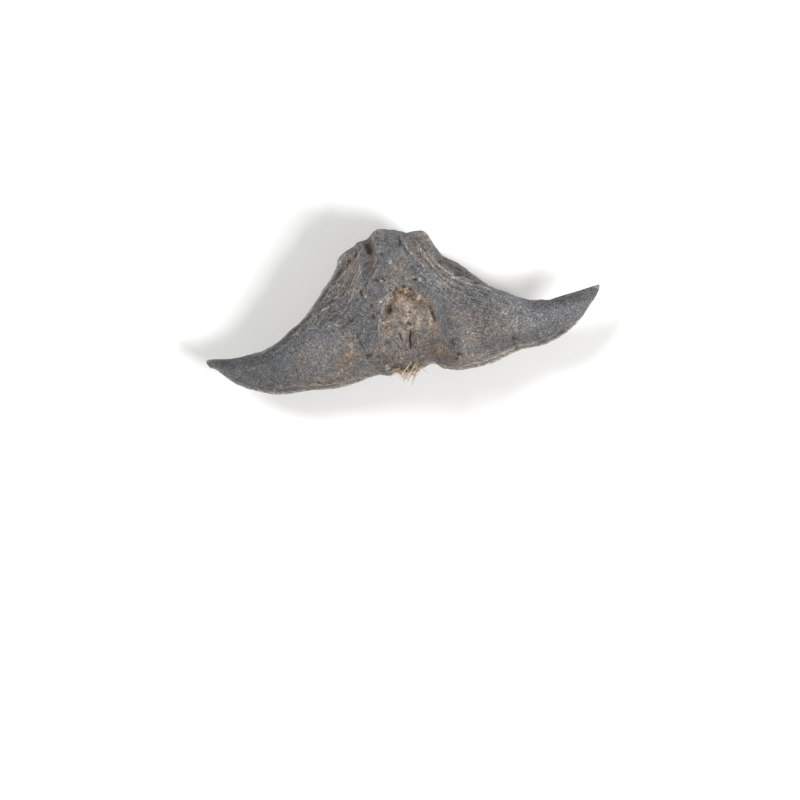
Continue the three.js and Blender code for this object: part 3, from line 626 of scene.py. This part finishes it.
WARMER = [
    (17.8, 5, 3.2, 3, 0.32), (8.6, 8, 2.6, 2.4, 0.15), (-2.6, 3, 2.4, 2.6, 0.32),
    (14, 8.8, 1.5, 2, 0.28), (11, -0.5, 4, 1.1, 0.4), (-4.8, 15, 1.6, 1.8, 0.16), (9.4, 4, 1.4, 2, 0.1),
    (-17, 3, 6, 2, 0.12), (3.4, 18.6, 1.2, 1.6, 0.12),
]
GRAINY = [
    (10, 18, 4, 5, -0.05), (30, 6, 9, 4, 0.12), (-24, 5, 8, 4, -0.15), (20, 8, 4, 4, 0.15),
    (-11, 14, 4, 4, -0.15), (0, 20.5, 5, 4, -0.4), (9, 8, 3, 5, -0.2), (-6, 8, 2.5, 4, -0.15),
    (2.5, 9, 4, 5, -0.2),
]


def together(patches):
    """Many soft ovals added up."""
    return sum(amount * patch(*place) for *place, amount in patches)


tables = (DUSTY, RUSTY, PAINTED_LIGHT_AND_PALER_SKIN, PAINTED_SHADE_AND_DARKER_SKIN, COOLER, WARMER, GRAINY)
print("patches:", [len(table) for table in tables])

# %% [markdown]
# ## How much of each colour
# Every point of the skin now gets its amounts of dust, rust, pale (wear, sand and a painted
# highlight), painted shade in the depths, its lightness, which holds painted light and shade too,
# and its warmth. Each adds up what the form, the noise and the tables say. Three more tell where
# fibres show as stripes, where the grain is strong, and where the thin edges of the horns get a
# painted pale highlight. One streak of dried mud runs up the left side of the body.

# %% Dust and rust
MUD_STREAK = [[-10.8, 2.4], [-9.6, 3.3], [-8.6, 4.6], [-8.2, 6.0]]
MUD_WIDTH = 0.5
mottled = np.clip(0.6 + 0.9 * fine_lumps + 0.3 * grit, 0, 1)
dust = 0.25 * hollow + 0.2 * inside_arch + 0.5 * arch_high * (0.65 + 0.35 * mottled)
dust += 0.25 * pore_side
dust += together(DUSTY) * mottled
dust += 0.3 * low_front * mottled + 0.25 * band * mottled + 0.2 * furrow + 0.3 * keel_groove * streaks
dust += 0.06 * on_flank * np.clip(-strands, 0, 1)
from_mud, _ = from_line(MUD_STREAK, shake_x, shake_y)
dust += 0.9 * bell(from_mud, MUD_WIDTH) * on_front * np.clip(0.7 + 0.6 * grit, 0, 1)
rust = 0.5 * arch_top * np.clip(0.45 + grit - 0.6 * fine_lumps, 0, 1) + 0.3 * crack_rims + together(RUSTY)
rust += 0.28 * furrow * np.clip(speckle, 0, 1) + 0.7 * arch_edge + 0.25 * groove * streaks
brown_grit = np.clip(grit - 0.4 * lumps, 0, 1)
rust += 0.4 * low_front * brown_grit + 0.9 * (pit ** 0.4 - pit) * np.clip(0.6 + grit, 0, 1)
print("dust, on average:", dust.mean().round(3), "rust:", rust.mean().round(3))

# %% Wear, painted highlights, lightness with painted light and shade, and warmth
# Painted highlight: thin pale lines along the lower and upper edges of the horns, broken by noise.
from_low_edge = rise + KEEL_HEIGHT * (1 - 0.75 * body_share(x))
low_line = bell(from_low_edge, 0.2) * (1 - smooth(from_tip, 6, 2)) * (1 - bell(x - 2, 4))
low_line += 0.8 * bell(from_low_edge - 0.8, 0.14) * smooth(x, 10, 14) * (1 - smooth(x, 24, 28)) * on_front
high_line = bell(below - 0.15, 0.17) + 0.5 * bell(below - 1.7, 0.15) * on_front
high_line = high_line * smooth(np.abs(x - 0.5), 6, 9) * (1 - smooth(x, 19, 24))
high_line *= 1 - smooth(-x, 22, 30)
painted_rim_highlight = low_line * np.clip(0.85 + 0.8 * breaks, 0, 1) + 0.7 * high_line * np.clip(0.8 + 0.7 * breaks, 0, 1)
# Pale: sand grains, the thin lip and the tips, and crests and strands made pale partly as wear and partly as
# a painted highlight.
pale = 0.25 * crests + 0.3 * thread + 0.15 * on_lip + 0.8 * grains + 0.6 * (1 - smooth(from_tip, 0.5, 2.0))
# Lightness is partly the skin's own, random and in patches, and partly painted light and shade: the right
# horn is made lighter where the light falls, and the ovals add painted highlights and painted shade.
tone = 0.5 + 0.24 * smooth(x, 16, 24) + 0.2 * arch_high + 0.09 * lumps + together(PAINTED_LIGHT_AND_PALER_SKIN) - together(PAINTED_SHADE_AND_DARKER_SKIN)
tone += 0.08 * strands * on_flank * on_front
# Painted shade: a band just under the upper edge of each side is made darker, where the outer facet lies in
# shade.
tone -= 0.3 * bell(below - 0.9, 0.7) * smooth(x, 8, 12) + 0.8 * bell(below - 0.95, 0.6) * smooth(-x, 6, 9)
# Warmth follows the lightness a little, so the painted shade is also a little cooler.
warmth = 0.5 + 0.25 * (tone - 0.5) + together(WARMER) - together(COOLER) - 0.04
print("lightness, on average:", tone.mean().round(3), "warmth:", warmth.mean().round(3))

# %% Painted shade in the depths, and stripes
small_holes = smooth(-grit - 0.5 * fine_grit, 0.2, 0.5)
# Painted shade: cracks, pits, slits, grooves, hollows, the pore and the shadow under the arch's top edge are
# made darker, down to near black; some noise adds darker specks of the skin's own.
painted_shade_and_dark_specks = cracks + 0.9 * pit + pore_hole + 0.8 * (1 - smooth(from_pore, 1.0, 2.2))
painted_shade_and_dark_specks += 0.45 * smooth(hollow, 0.4, 1.0) * (1 - 0.7 * furrow)
painted_shade_and_dark_specks += 0.25 * pitting
painted_shade_and_dark_specks += 0.35 * arch_top * small_holes + 0.3 * arch_edge + 0.22 * groove + 0.35 * slit
painted_shade_and_dark_specks += 0.5 * np.clip(low_front + 0.4 * on_flank + 0.35, 0, 1) * smooth(-grit - 0.6 * fine_grit, 0.25, 0.5)
painted_shade_and_dark_specks *= 1 - grains
side_face = 1 - smooth(np.abs(out_of_skin[..., 2]), 0.35, 0.8)
striped = on_flank * (1 - 0.7 * on_horn) + off_body * bell(rise - 0.8, 1.1) + 0.8 * side_face + 0.4 * on_back
grainy = 0.5 + together(GRAINY) - 0.35 * (1 - on_front)
print("dark, on average:", painted_shade_and_dark_specks.mean().round(3), "striped:", striped.mean().round(3))

# %% [markdown]
# ## The mesh of the skin
# The rings are joined with four-sided faces, and a fan of triangles closes each tip. The amounts
# are stored on the mesh's points, where a material can read them by name. That keeps them in
# place without an image.

# %% Build the nut
points = np.vstack([skin.reshape(-1, 3), tip_points]) * MM
first_tip = skin.shape[0] * AROUND
last_ring = first_tip - AROUND
ring, point = np.meshgrid(np.arange(skin.shape[0] - 1), np.arange(AROUND), indexing="ij")
here, beyond = ring * AROUND, (ring + 1) * AROUND
after = (point + 1) % AROUND
quads = np.stack([here + point, here + after, beyond + after, beyond + point], axis=2).reshape(-1, 4)
faces = quads.tolist()
for i in range(AROUND):
    j = (i + 1) % AROUND
    faces.append([first_tip, j, i])
    faces.append([first_tip + 1, last_ring + i, last_ring + j])

mesh = bpy.data.meshes.new("nut_skin")
mesh.from_pydata(points.tolist(), [], faces)
mesh.update()
mesh.shade_smooth()
nut = bpy.data.objects.new("nut_skin", mesh)
bpy.context.scene.collection.objects.link(nut)
print("faces:", len(faces), "triangles:", 2 * len(quads) + 2 * AROUND)

# %% Store the amounts on the mesh


def store(name, values):
    """Keeps one number a point on the mesh, clipped to 0 to 1, for the material to read."""
    layer = mesh.attributes.new(name, "FLOAT", "POINT")
    at_tips = values[[0, -1]].mean(axis=1)
    layer.data.foreach_set("value", np.clip(np.concatenate([values.ravel(), at_tips]), 0, 1))


amounts = {"dust": dust, "rust": rust, "tone": tone, "warmth": warmth, "striped": striped}
amounts |= {"pale": pale, "painted_rim_highlight": painted_rim_highlight, "grainy": grainy, "painted_shade_and_dark_specks": painted_shade_and_dark_specks}
for name, values in amounts.items():
    store(name, values)
fibre_layer = mesh.attributes.new("fibres", "FLOAT_VECTOR", "POINT")
fibres = np.vstack([flow.reshape(-1, 3), flow[0].mean(axis=0), flow[-1].mean(axis=0)])
fibre_layer.data.foreach_set("vector", fibres.ravel())
print("stored:", *amounts, "fibres")

# %% [markdown]
# ## The skin's colour
# Close up, the skin is grey with a blue cast where it is clean and smooth, and warm brown where
# dust has settled. On top lie fine grain, darker fibres, sparse pale grains of sand, crests that are
# pale partly from wear and partly as a painted highlight, painted pale highlights along the edges
# and painted shade in the depths. Each of these is a noise texture mixed in by the amounts stored on
# the mesh, so nothing repeats and nothing needs an image.

# %% Helpers for the materials


def linear(red, green, blue):
    """A colour given as seen on a screen, 0 to 255, as the renderer counts it."""
    share = np.array([red, green, blue]) / 255
    value = np.where(share <= 0.04045, share / 12.92, ((share + 0.055) / 1.055) ** 2.4)
    return (*value.tolist(), 1.0)


class Wiring:
    """Makes a material's nodes in short lines. Inputs may be plain values or other nodes' sockets."""

    def __init__(self, name):
        self.material = bpy.data.materials.new(name)
        self.material.use_nodes = True
        self.tree = self.material.node_tree
        self.skin = self.tree.nodes["Principled BSDF"]

    def link(self, value, socket):
        if isinstance(value, bpy.types.NodeSocket):
            self.tree.links.new(value, socket)
        else:
            socket.default_value = value

    def node(self, kind, inputs=(), **settings):
        made = self.tree.nodes.new(kind)
        for key, value in settings.items():
            setattr(made, key, value)
        for key, value in dict(inputs).items():
            self.link(value, made.inputs[key])
        return made

    def math(self, operation, *values):
        made = self.node("ShaderNodeMath", enumerate(values), operation=operation)
        return made.outputs[0]

    def times(self, first, second):
        return self.math("MULTIPLY", first, second)

    def plus(self, first, second):
        return self.math("ADD", first, second)

    def noise(self, where, scale, detail=3.0, rough=0.55):
        inputs = {"Vector": where, "Scale": scale, "Detail": detail, "Roughness": rough}
        return self.node("ShaderNodeTexNoise", inputs).outputs["Fac"]

    def spread(self, value, low, high, to_low=0.0, to_high=1.0):
        """Stretches low to high over to_low to to_high, with nothing beyond."""
        inputs = {"Value": value, "From Min": low, "From Max": high, "To Min": to_low, "To Max": to_high}
        return self.node("ShaderNodeMapRange", inputs).outputs["Result"]

    def mix(self, share, first, second, blend="MIX"):
        made = self.node("ShaderNodeMix", data_type="RGBA", blend_type=blend)
        for value, socket in ((share, made.inputs[0]), (first, made.inputs[6]), (second, made.inputs[7])):
            self.link(value, socket)
        return made.outputs[2]

    def stored(self, name, output="Fac"):
        return self.node("ShaderNodeAttribute", attribute_name=name).outputs[output]

    def stretched(self, where, scale):
        inputs = {"Vector": where, "Scale": scale}
        return self.node("ShaderNodeMapping", inputs).outputs["Vector"]


print("helpers ready")

# %% Colours of the skin
COOL_GREY, WARM_GREY = linear(85, 87, 91), linear(101, 98, 95)
DEEP_DUST, PALE_DUST = linear(128, 109, 91), linear(160, 139, 117)
RUST_BROWN, PALE_WEAR_AND_HIGHLIGHT, RIM_HIGHLIGHT = linear(114, 82, 57), linear(176, 169, 160), linear(186, 175, 162)
PAINTED_SHADE, OPEN_PORE = linear(34, 30, 28), linear(50, 48, 48)
SAND_SPECK, DARK_SPECK = linear(180, 172, 158), linear(40, 36, 34)
# How many times a noise changes in a metre: the larger, the finer.
PATCH_SCALE, CLOUD_SCALE, GRAIN_SCALE, FINE_GRAIN_SCALE = 230, 800, 2500, 5600
TINT_SCALE, SPECK_SCALE, PORE_SCALE = 1200, 2100, 4200
print("grain, mm:", 1000 / GRAIN_SCALE, "fine grain, mm:", round(1000 / FINE_GRAIN_SCALE, 2))

# %% Lay the colours over each other
w = Wiring("dried nut skin")
place = w.node("ShaderNodeTexCoord").outputs["Object"]
fibre_place = w.stored("fibres", "Vector")

patches = w.noise(place, PATCH_SCALE, 4, 0.6)
clouds = w.noise(place, CLOUD_SCALE, 4, 0.6)
grain = w.noise(place, GRAIN_SCALE, 4, 0.7)
fine_grain = w.noise(place, FINE_GRAIN_SCALE, 2, 0.7)
fibre = w.noise(w.stretched(fibre_place, (2.6, 0.22, 2.2)), 1.0, 4, 0.6)
fine_fibre = w.noise(w.stretched(fibre_place, (7.0, 0.6, 4.4)), 1.0, 2, 0.6)

warm = w.plus(w.times(patches, 0.5), w.times(clouds, 0.5))
warm = w.plus(warm, w.spread(w.stored("warmth"), 0.0, 1.0, -0.24, 0.24))
colour = w.mix(w.spread(warm, 0.38, 0.62), COOL_GREY, WARM_GREY)
gritty = w.spread(w.plus(w.times(grain, 0.4), w.times(clouds, 0.6)), 0.35, 0.65, 0.5, 1.15)
dust_share = w.times(w.plus(w.stored("dust"), w.spread(clouds, 0.55, 0.8, 0.0, 0.12)), gritty)
ochre = w.mix(w.spread(clouds, 0.35, 0.7), DEEP_DUST, PALE_DUST)
colour = w.mix(w.spread(dust_share, 0.0, 1.0, 0.0, 0.8), colour, ochre)
# Rust is the skin's own; pale is sand, wear and a painted highlight on crests and strands; the edge lines are
# a painted highlight.
BROKEN_BY_GRAIN = [  # amount, grain that counts in full, weakest and strongest share, colour
    ("rust", 0.6, 0.4, 0.9, RUST_BROWN),
    ("pale", 0.6, 0.35, 0.85, PALE_WEAR_AND_HIGHLIGHT),
    ("painted_rim_highlight", 0.5, 0.6, 0.95, RIM_HIGHLIGHT),
]
for name, full, weakest, strongest, laid_on in BROKEN_BY_GRAIN:
    cover = w.times(w.stored(name), w.spread(grain, 0.3, full, weakest, strongest))
    colour = w.mix(cover, colour, laid_on)
# Painted shade: the depths are mixed towards near black.
colour = w.mix(w.spread(w.stored("painted_shade_and_dark_specks"), 0.0, 1.0, 0.0, 0.88), colour, PAINTED_SHADE)
print("base colours mixed")

# %% [markdown]
# The grain lies over every colour alike, so it is multiplied in last: broad clouds first, then
# fibres, then grain about as coarse as fine sand, warmer in some places and cooler in others. A
# few bright and dark specks finish it.

# %% Fibres and grain of the skin
# The stored lightness, with its painted light and shade, is multiplied in here too.
shade = w.times(w.spread(clouds, 0.3, 0.7, 0.86, 1.12), w.spread(w.stored("tone"), 0.0, 1.0, 0.6, 1.4))
stripes_here = w.stored("striped")
fibre_shade = w.times(w.spread(fibre, 0.3, 0.7, -0.42, 0.38), stripes_here)
fine_shade = w.times(w.spread(fine_fibre, 0.3, 0.7, -0.5, 0.5), stripes_here)
shade = w.times(shade, w.plus(1.0, w.plus(fibre_shade, fine_shade)))
grainy_here = w.spread(w.stored("grainy"), 0.0, 1.0, 0.55, 1.45)
grain_depth = w.times(w.spread(patches, 0.4, 0.65, 0.65, 1.1), grainy_here)
coarse = w.times(w.spread(grain, 0.25, 0.75, -0.9, 0.9), grain_depth)
shade = w.times(shade, w.plus(1.0, coarse))
fine = w.times(w.spread(fine_grain, 0.25, 0.75, -1.1, 1.1), grainy_here)
shade = w.times(shade, w.plus(1.0, fine))
tint = w.noise(place, TINT_SCALE, 4, 0.65)
grey = w.node("ShaderNodeCombineColor", {
    "Red": w.times(shade, w.spread(tint, 0.3, 0.7, 0.94, 1.06)),
    "Green": shade,
    "Blue": w.times(shade, w.spread(tint, 0.3, 0.7, 1.07, 0.93)),
}).outputs[0]
colour = w.mix(1.0, colour, grey, "MULTIPLY")

print("fibres and grain laid over the colours")

# %% Specks and open pores
cells = w.node("ShaderNodeTexVoronoi", {"Vector": place, "Scale": SPECK_SCALE, "Randomness": 1.0})
chosen = w.node("ShaderNodeSeparateColor", {"Color": cells.outputs["Color"]})
near = w.spread(cells.outputs["Distance"], 0.12, 0.34, 1.0, 0.0)
bright = w.times(near, w.spread(chosen.outputs[0], 0.88, 1.0))
murky = w.times(near, w.spread(chosen.outputs[1], 0.84, 1.0))
colour = w.mix(w.times(bright, 0.7), colour, SAND_SPECK)
colour = w.mix(w.times(murky, 0.8), colour, DARK_SPECK)
pores = w.node("ShaderNodeTexVoronoi", {"Vector": place, "Scale": PORE_SCALE, "Randomness": 1.0})
pore_chosen = w.node("ShaderNodeSeparateColor", {"Color": pores.outputs["Color"]}).outputs[0]
pore_dot = w.spread(pores.outputs["Distance"], 0.1, 0.45, 0.6, 0.0)
colour = w.mix(w.times(pore_dot, w.spread(pore_chosen, 0.6, 0.8)), colour, OPEN_PORE)
w.link(colour, w.skin.inputs["Base Color"])
print("nodes for the colour:", len(w.tree.nodes))

# %% Dullness and fine bumps
BUMP_DEPTH = 0.0004
w.link(w.spread(clouds, 0.3, 0.7, 0.74, 0.95), w.skin.inputs["Roughness"])
w.skin.inputs["Specular IOR Level"].default_value = 0.3
w.skin.inputs["Sheen Weight"].default_value = 0.12
w.skin.inputs["Sheen Roughness"].default_value = 0.6
bumpy = w.plus(w.times(grain, 0.6), w.times(fine_fibre, 0.35))
bumpy = w.plus(bumpy, w.times(clouds, 0.7))
bump = w.node("ShaderNodeBump", {"Height": bumpy, "Strength": 1.0, "Distance": BUMP_DEPTH})
w.link(bump.outputs[0], w.skin.inputs["Normal"])
mesh.materials.append(w.material)
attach(nut, "root")
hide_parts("nut")
print("skin material nodes:", len(w.tree.nodes))

# %% [markdown]
# ## The hairs round the pore
# When the soft outer skin rots away, its fibres stay as a tuft of stiff straw-coloured hairs
# round the pore. Each is a thin bent tube with four sides, rooted a little under the skin. Most
# lean together in three wisps, and the others stand apart. They are real tubes and no texture,
# because they stand free of the nut.

# %% Where the hairs grow
HAIRS = 56
HAIR_STEPS, HAIR_SIDES = 8, 4
ROOT_DEPTH = 0.35  # how far under the skin a hair starts
SHARE_IN_WISPS = 0.8
WISPS_AT = (-1.1, -0.8, 0.2)  # where along the horns the wisps end
TUFT_STRETCH = np.array([1.25, 1, 1])  # the tuft is wider along the horns
TUFT_SIDES = (0.3, np.pi - 0.2)  # most hairs grow at these two sides of the pore
rng = np.random.default_rng(11)
centre = PORE - REST
side_a = np.array([1.0, 0, 0])
side_b = np.cross(PORE_OUT, side_a)
near_pore = skin.reshape(-1, 3)
near_pore = near_pore[np.linalg.norm(near_pore - centre, axis=1) < 5]
wisps = [centre + 2.5 * PORE_OUT + side_a * shift for shift in WISPS_AT]


def course(number):
    """Where a hair leaves the skin, which way, how long it is and how it bends."""
    if number % 4 == 0:
        turn = rng.uniform(0, 2 * np.pi)
    else:
        turn = TUFT_SIDES[number % 2] + rng.normal(0, 0.45)
    outward = np.cos(turn) * side_a + np.sin(turn) * side_b
    wanted = centre + outward * rng.uniform(0.9, 2.3) * TUFT_STRETCH
    root = near_pore[np.argmin(np.linalg.norm(near_pore - wanted, axis=1))]
    if rng.uniform() < SHARE_IN_WISPS:
        heading = wisps[rng.integers(len(wisps))] + rng.normal(0, 0.4, 3) - root
        length = np.linalg.norm(heading) * rng.uniform(0.7, 1.15)
        bend = rng.normal(0, 0.2, 3)
    else:
        heading = np.cos(turn) * side_a * 1.1 + np.sin(turn) * side_b + PORE_OUT * rng.uniform(0.4, 1.4)
        length = rng.uniform(1.0, 2.4)
        bend = rng.normal(0, 0.4, 3)
    return root, heading / np.linalg.norm(heading), length, bend


print("points of skin that a hair may grow from:", len(near_pore))

# %% Grow one hair


def hair_line(root, heading, length, bend):
    """Points from under the skin to the hair's tip, and the way the tip points."""
    line = [root - heading * ROOT_DEPTH]
    for _ in range(HAIR_STEPS):
        heading = heading + bend / HAIR_STEPS + rng.normal(0, 0.05, 3)
        heading /= np.linalg.norm(heading)
        line.append(line[-1] + heading * (length + ROOT_DEPTH) / HAIR_STEPS)
    return line, heading


def tube_points(line, heading, thick):
    """Rings of points round a line, narrower towards its tip."""
    sideways = np.cross(heading, [0.3, 0.2, 0.93])
    sideways /= np.linalg.norm(sideways)
    upright = np.cross(heading, sideways)
    made = []
    for step, spot in enumerate(line):
        radius = thick * (1 - 0.6 * step / HAIR_STEPS)
        for corner in range(HAIR_SIDES):
            turn = corner * 2 * np.pi / HAIR_SIDES
            made.append(spot + radius * (np.cos(turn) * sideways + np.sin(turn) * upright))
    return made


def tube_faces(start):
    """Faces round a tube whose points begin at a number, and over its two ends."""
    made = []
    for step in range(HAIR_STEPS):
        for corner in range(HAIR_SIDES):
            low = start + step * HAIR_SIDES + corner
            next_low = start + step * HAIR_SIDES + (corner + 1) % HAIR_SIDES
            made.append([low, next_low, next_low + HAIR_SIDES, low + HAIR_SIDES])
    made.append([start + corner for corner in reversed(range(HAIR_SIDES))])
    made.append([start + HAIR_STEPS * HAIR_SIDES + corner for corner in range(HAIR_SIDES)])
    return made


print("faces of one hair:", len(tube_faces(0)))

# %% Make the tuft
hair_points, hair_faces, hair_tone = [], [], []
for number in range(HAIRS):
    line, tip_heading = hair_line(*course(number))
    hair_faces += tube_faces(len(hair_points))
    hair_points += tube_points(line, tip_heading, rng.uniform(0.06, 0.11))
    hair_tone += [rng.uniform(0, 1)] * len(line) * HAIR_SIDES

hair_mesh = bpy.data.meshes.new("pore_hairs")
hair_mesh.from_pydata((np.array(hair_points) * MM).tolist(), [], hair_faces)
hair_mesh.update()
tones = hair_mesh.attributes.new("tone", "FLOAT", "POINT")
tones.data.foreach_set("value", hair_tone)
hairs = bpy.data.objects.new("pore_hairs", hair_mesh)
bpy.context.scene.collection.objects.link(hairs)
print("hairs:", HAIRS, "faces:", len(hair_faces))

# %% [markdown]
# The hairs are dry and straw-coloured, some darker than others, with fine dirty streaks along
# them. They are dull, like the skin.

# %% Straw colour
DARK_STRAW, LIGHT_STRAW, DIRTY_STRAW = linear(150, 124, 102), linear(232, 212, 186), linear(112, 98, 84)
HAIR_BUMP_DEPTH = 0.00003
h = Wiring("straw hair")
h_place = h.node("ShaderNodeTexCoord").outputs["Object"]
hair_streaks = h.noise(h.stretched(h_place, (6000, 1500, 6000)), 1.0, 2)
straw = h.mix(h.stored("tone"), DARK_STRAW, LIGHT_STRAW)
straw = h.mix(h.spread(hair_streaks, 0.35, 0.7, 0.0, 0.4), straw, DIRTY_STRAW)
h.link(straw, h.skin.inputs["Base Color"])
h.link(h.spread(hair_streaks, 0.3, 0.7, 0.6, 0.85), h.skin.inputs["Roughness"])
h.skin.inputs["Specular IOR Level"].default_value = 0.3
hair_bump = h.node("ShaderNodeBump", {"Height": hair_streaks, "Strength": 0.4, "Distance": HAIR_BUMP_DEPTH})
h.link(hair_bump.outputs[0], h.skin.inputs["Normal"])
hair_mesh.materials.append(h.material)
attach(hairs, "root")
print("hair material ready")

# %% [markdown]
# ## Floor, light and camera
# The nut lies on a plain pale floor between two soft boxes, one at the lower right and a weaker
# one at the upper left, as the light falls in the photo. The camera looks straight down. It is
# turned by nine degrees, because the nut lies askew in the photo, and it stands where the nut
# takes the same place in the picture.

# %% Floor
bpy.ops.mesh.primitive_plane_add(size=4)
floor = bpy.context.object
floor.name = "floor"
f = Wiring("pale floor")
f_place = f.node("ShaderNodeTexCoord").outputs["Object"]
f.link(f.mix(f.noise(f_place, 60), linear(226, 225, 223), linear(233, 232, 230)), f.skin.inputs["Base Color"])
f.skin.inputs["Roughness"].default_value = 0.8
floor.data.materials.append(f.material)
print("floor, m:", tuple(floor.dimensions)[:2])

# %% Light
world = bpy.data.worlds.new("soft room")
world.use_nodes = True
world.node_tree.nodes["Background"].inputs[0].default_value = (0.94, 0.97, 1.0, 1)
world.node_tree.nodes["Background"].inputs[1].default_value = 0.3
bpy.context.scene.world = world


def soft_light(name, where, size, power):
    """A square light that points at the nut."""
    lamp = bpy.data.lights.new(name, "AREA")
    lamp.size, lamp.energy = size, power
    light = bpy.data.objects.new(name, lamp)
    light.location = where
    light.rotation_euler = (-Vector(where)).to_track_quat("-Z", "Y").to_euler()
    bpy.context.scene.collection.objects.link(light)


BOX_SIZE = 0.3
soft_light("right box", (0.5, -0.36, 0.62), BOX_SIZE, 8.5)
soft_light("left box", (-0.42, 0.42, 0.62), BOX_SIZE, 6.0)

# %% Camera
TURN = np.radians(9)
DISTANCE = 700.0
FRONT_HEIGHT = 10
PIXELS_A_MM = 5.28
PICTURE_WIDTH = 800
FILM_WIDTH = 36
aim = np.array([-0.83, -5.24, 0.0]) - [REST[0], REST[1], 0]  # what lies under the picture's middle
optics = bpy.data.cameras.new("camera")
optics.sensor_width = FILM_WIDTH
optics.lens = PIXELS_A_MM * FILM_WIDTH * DISTANCE / PICTURE_WIDTH
optics.clip_start, optics.clip_end = 0.05, 10
camera = bpy.data.objects.new("camera", optics)
camera.location = Vector((aim[0], aim[1], DISTANCE + FRONT_HEIGHT)) * MM
camera.rotation_euler = (0, 0, -TURN)
bpy.context.scene.collection.objects.link(camera)
bpy.context.scene.camera = camera
bpy.context.scene.view_settings.view_transform = "Standard"
print("lens, mm:", round(optics.lens, 1))
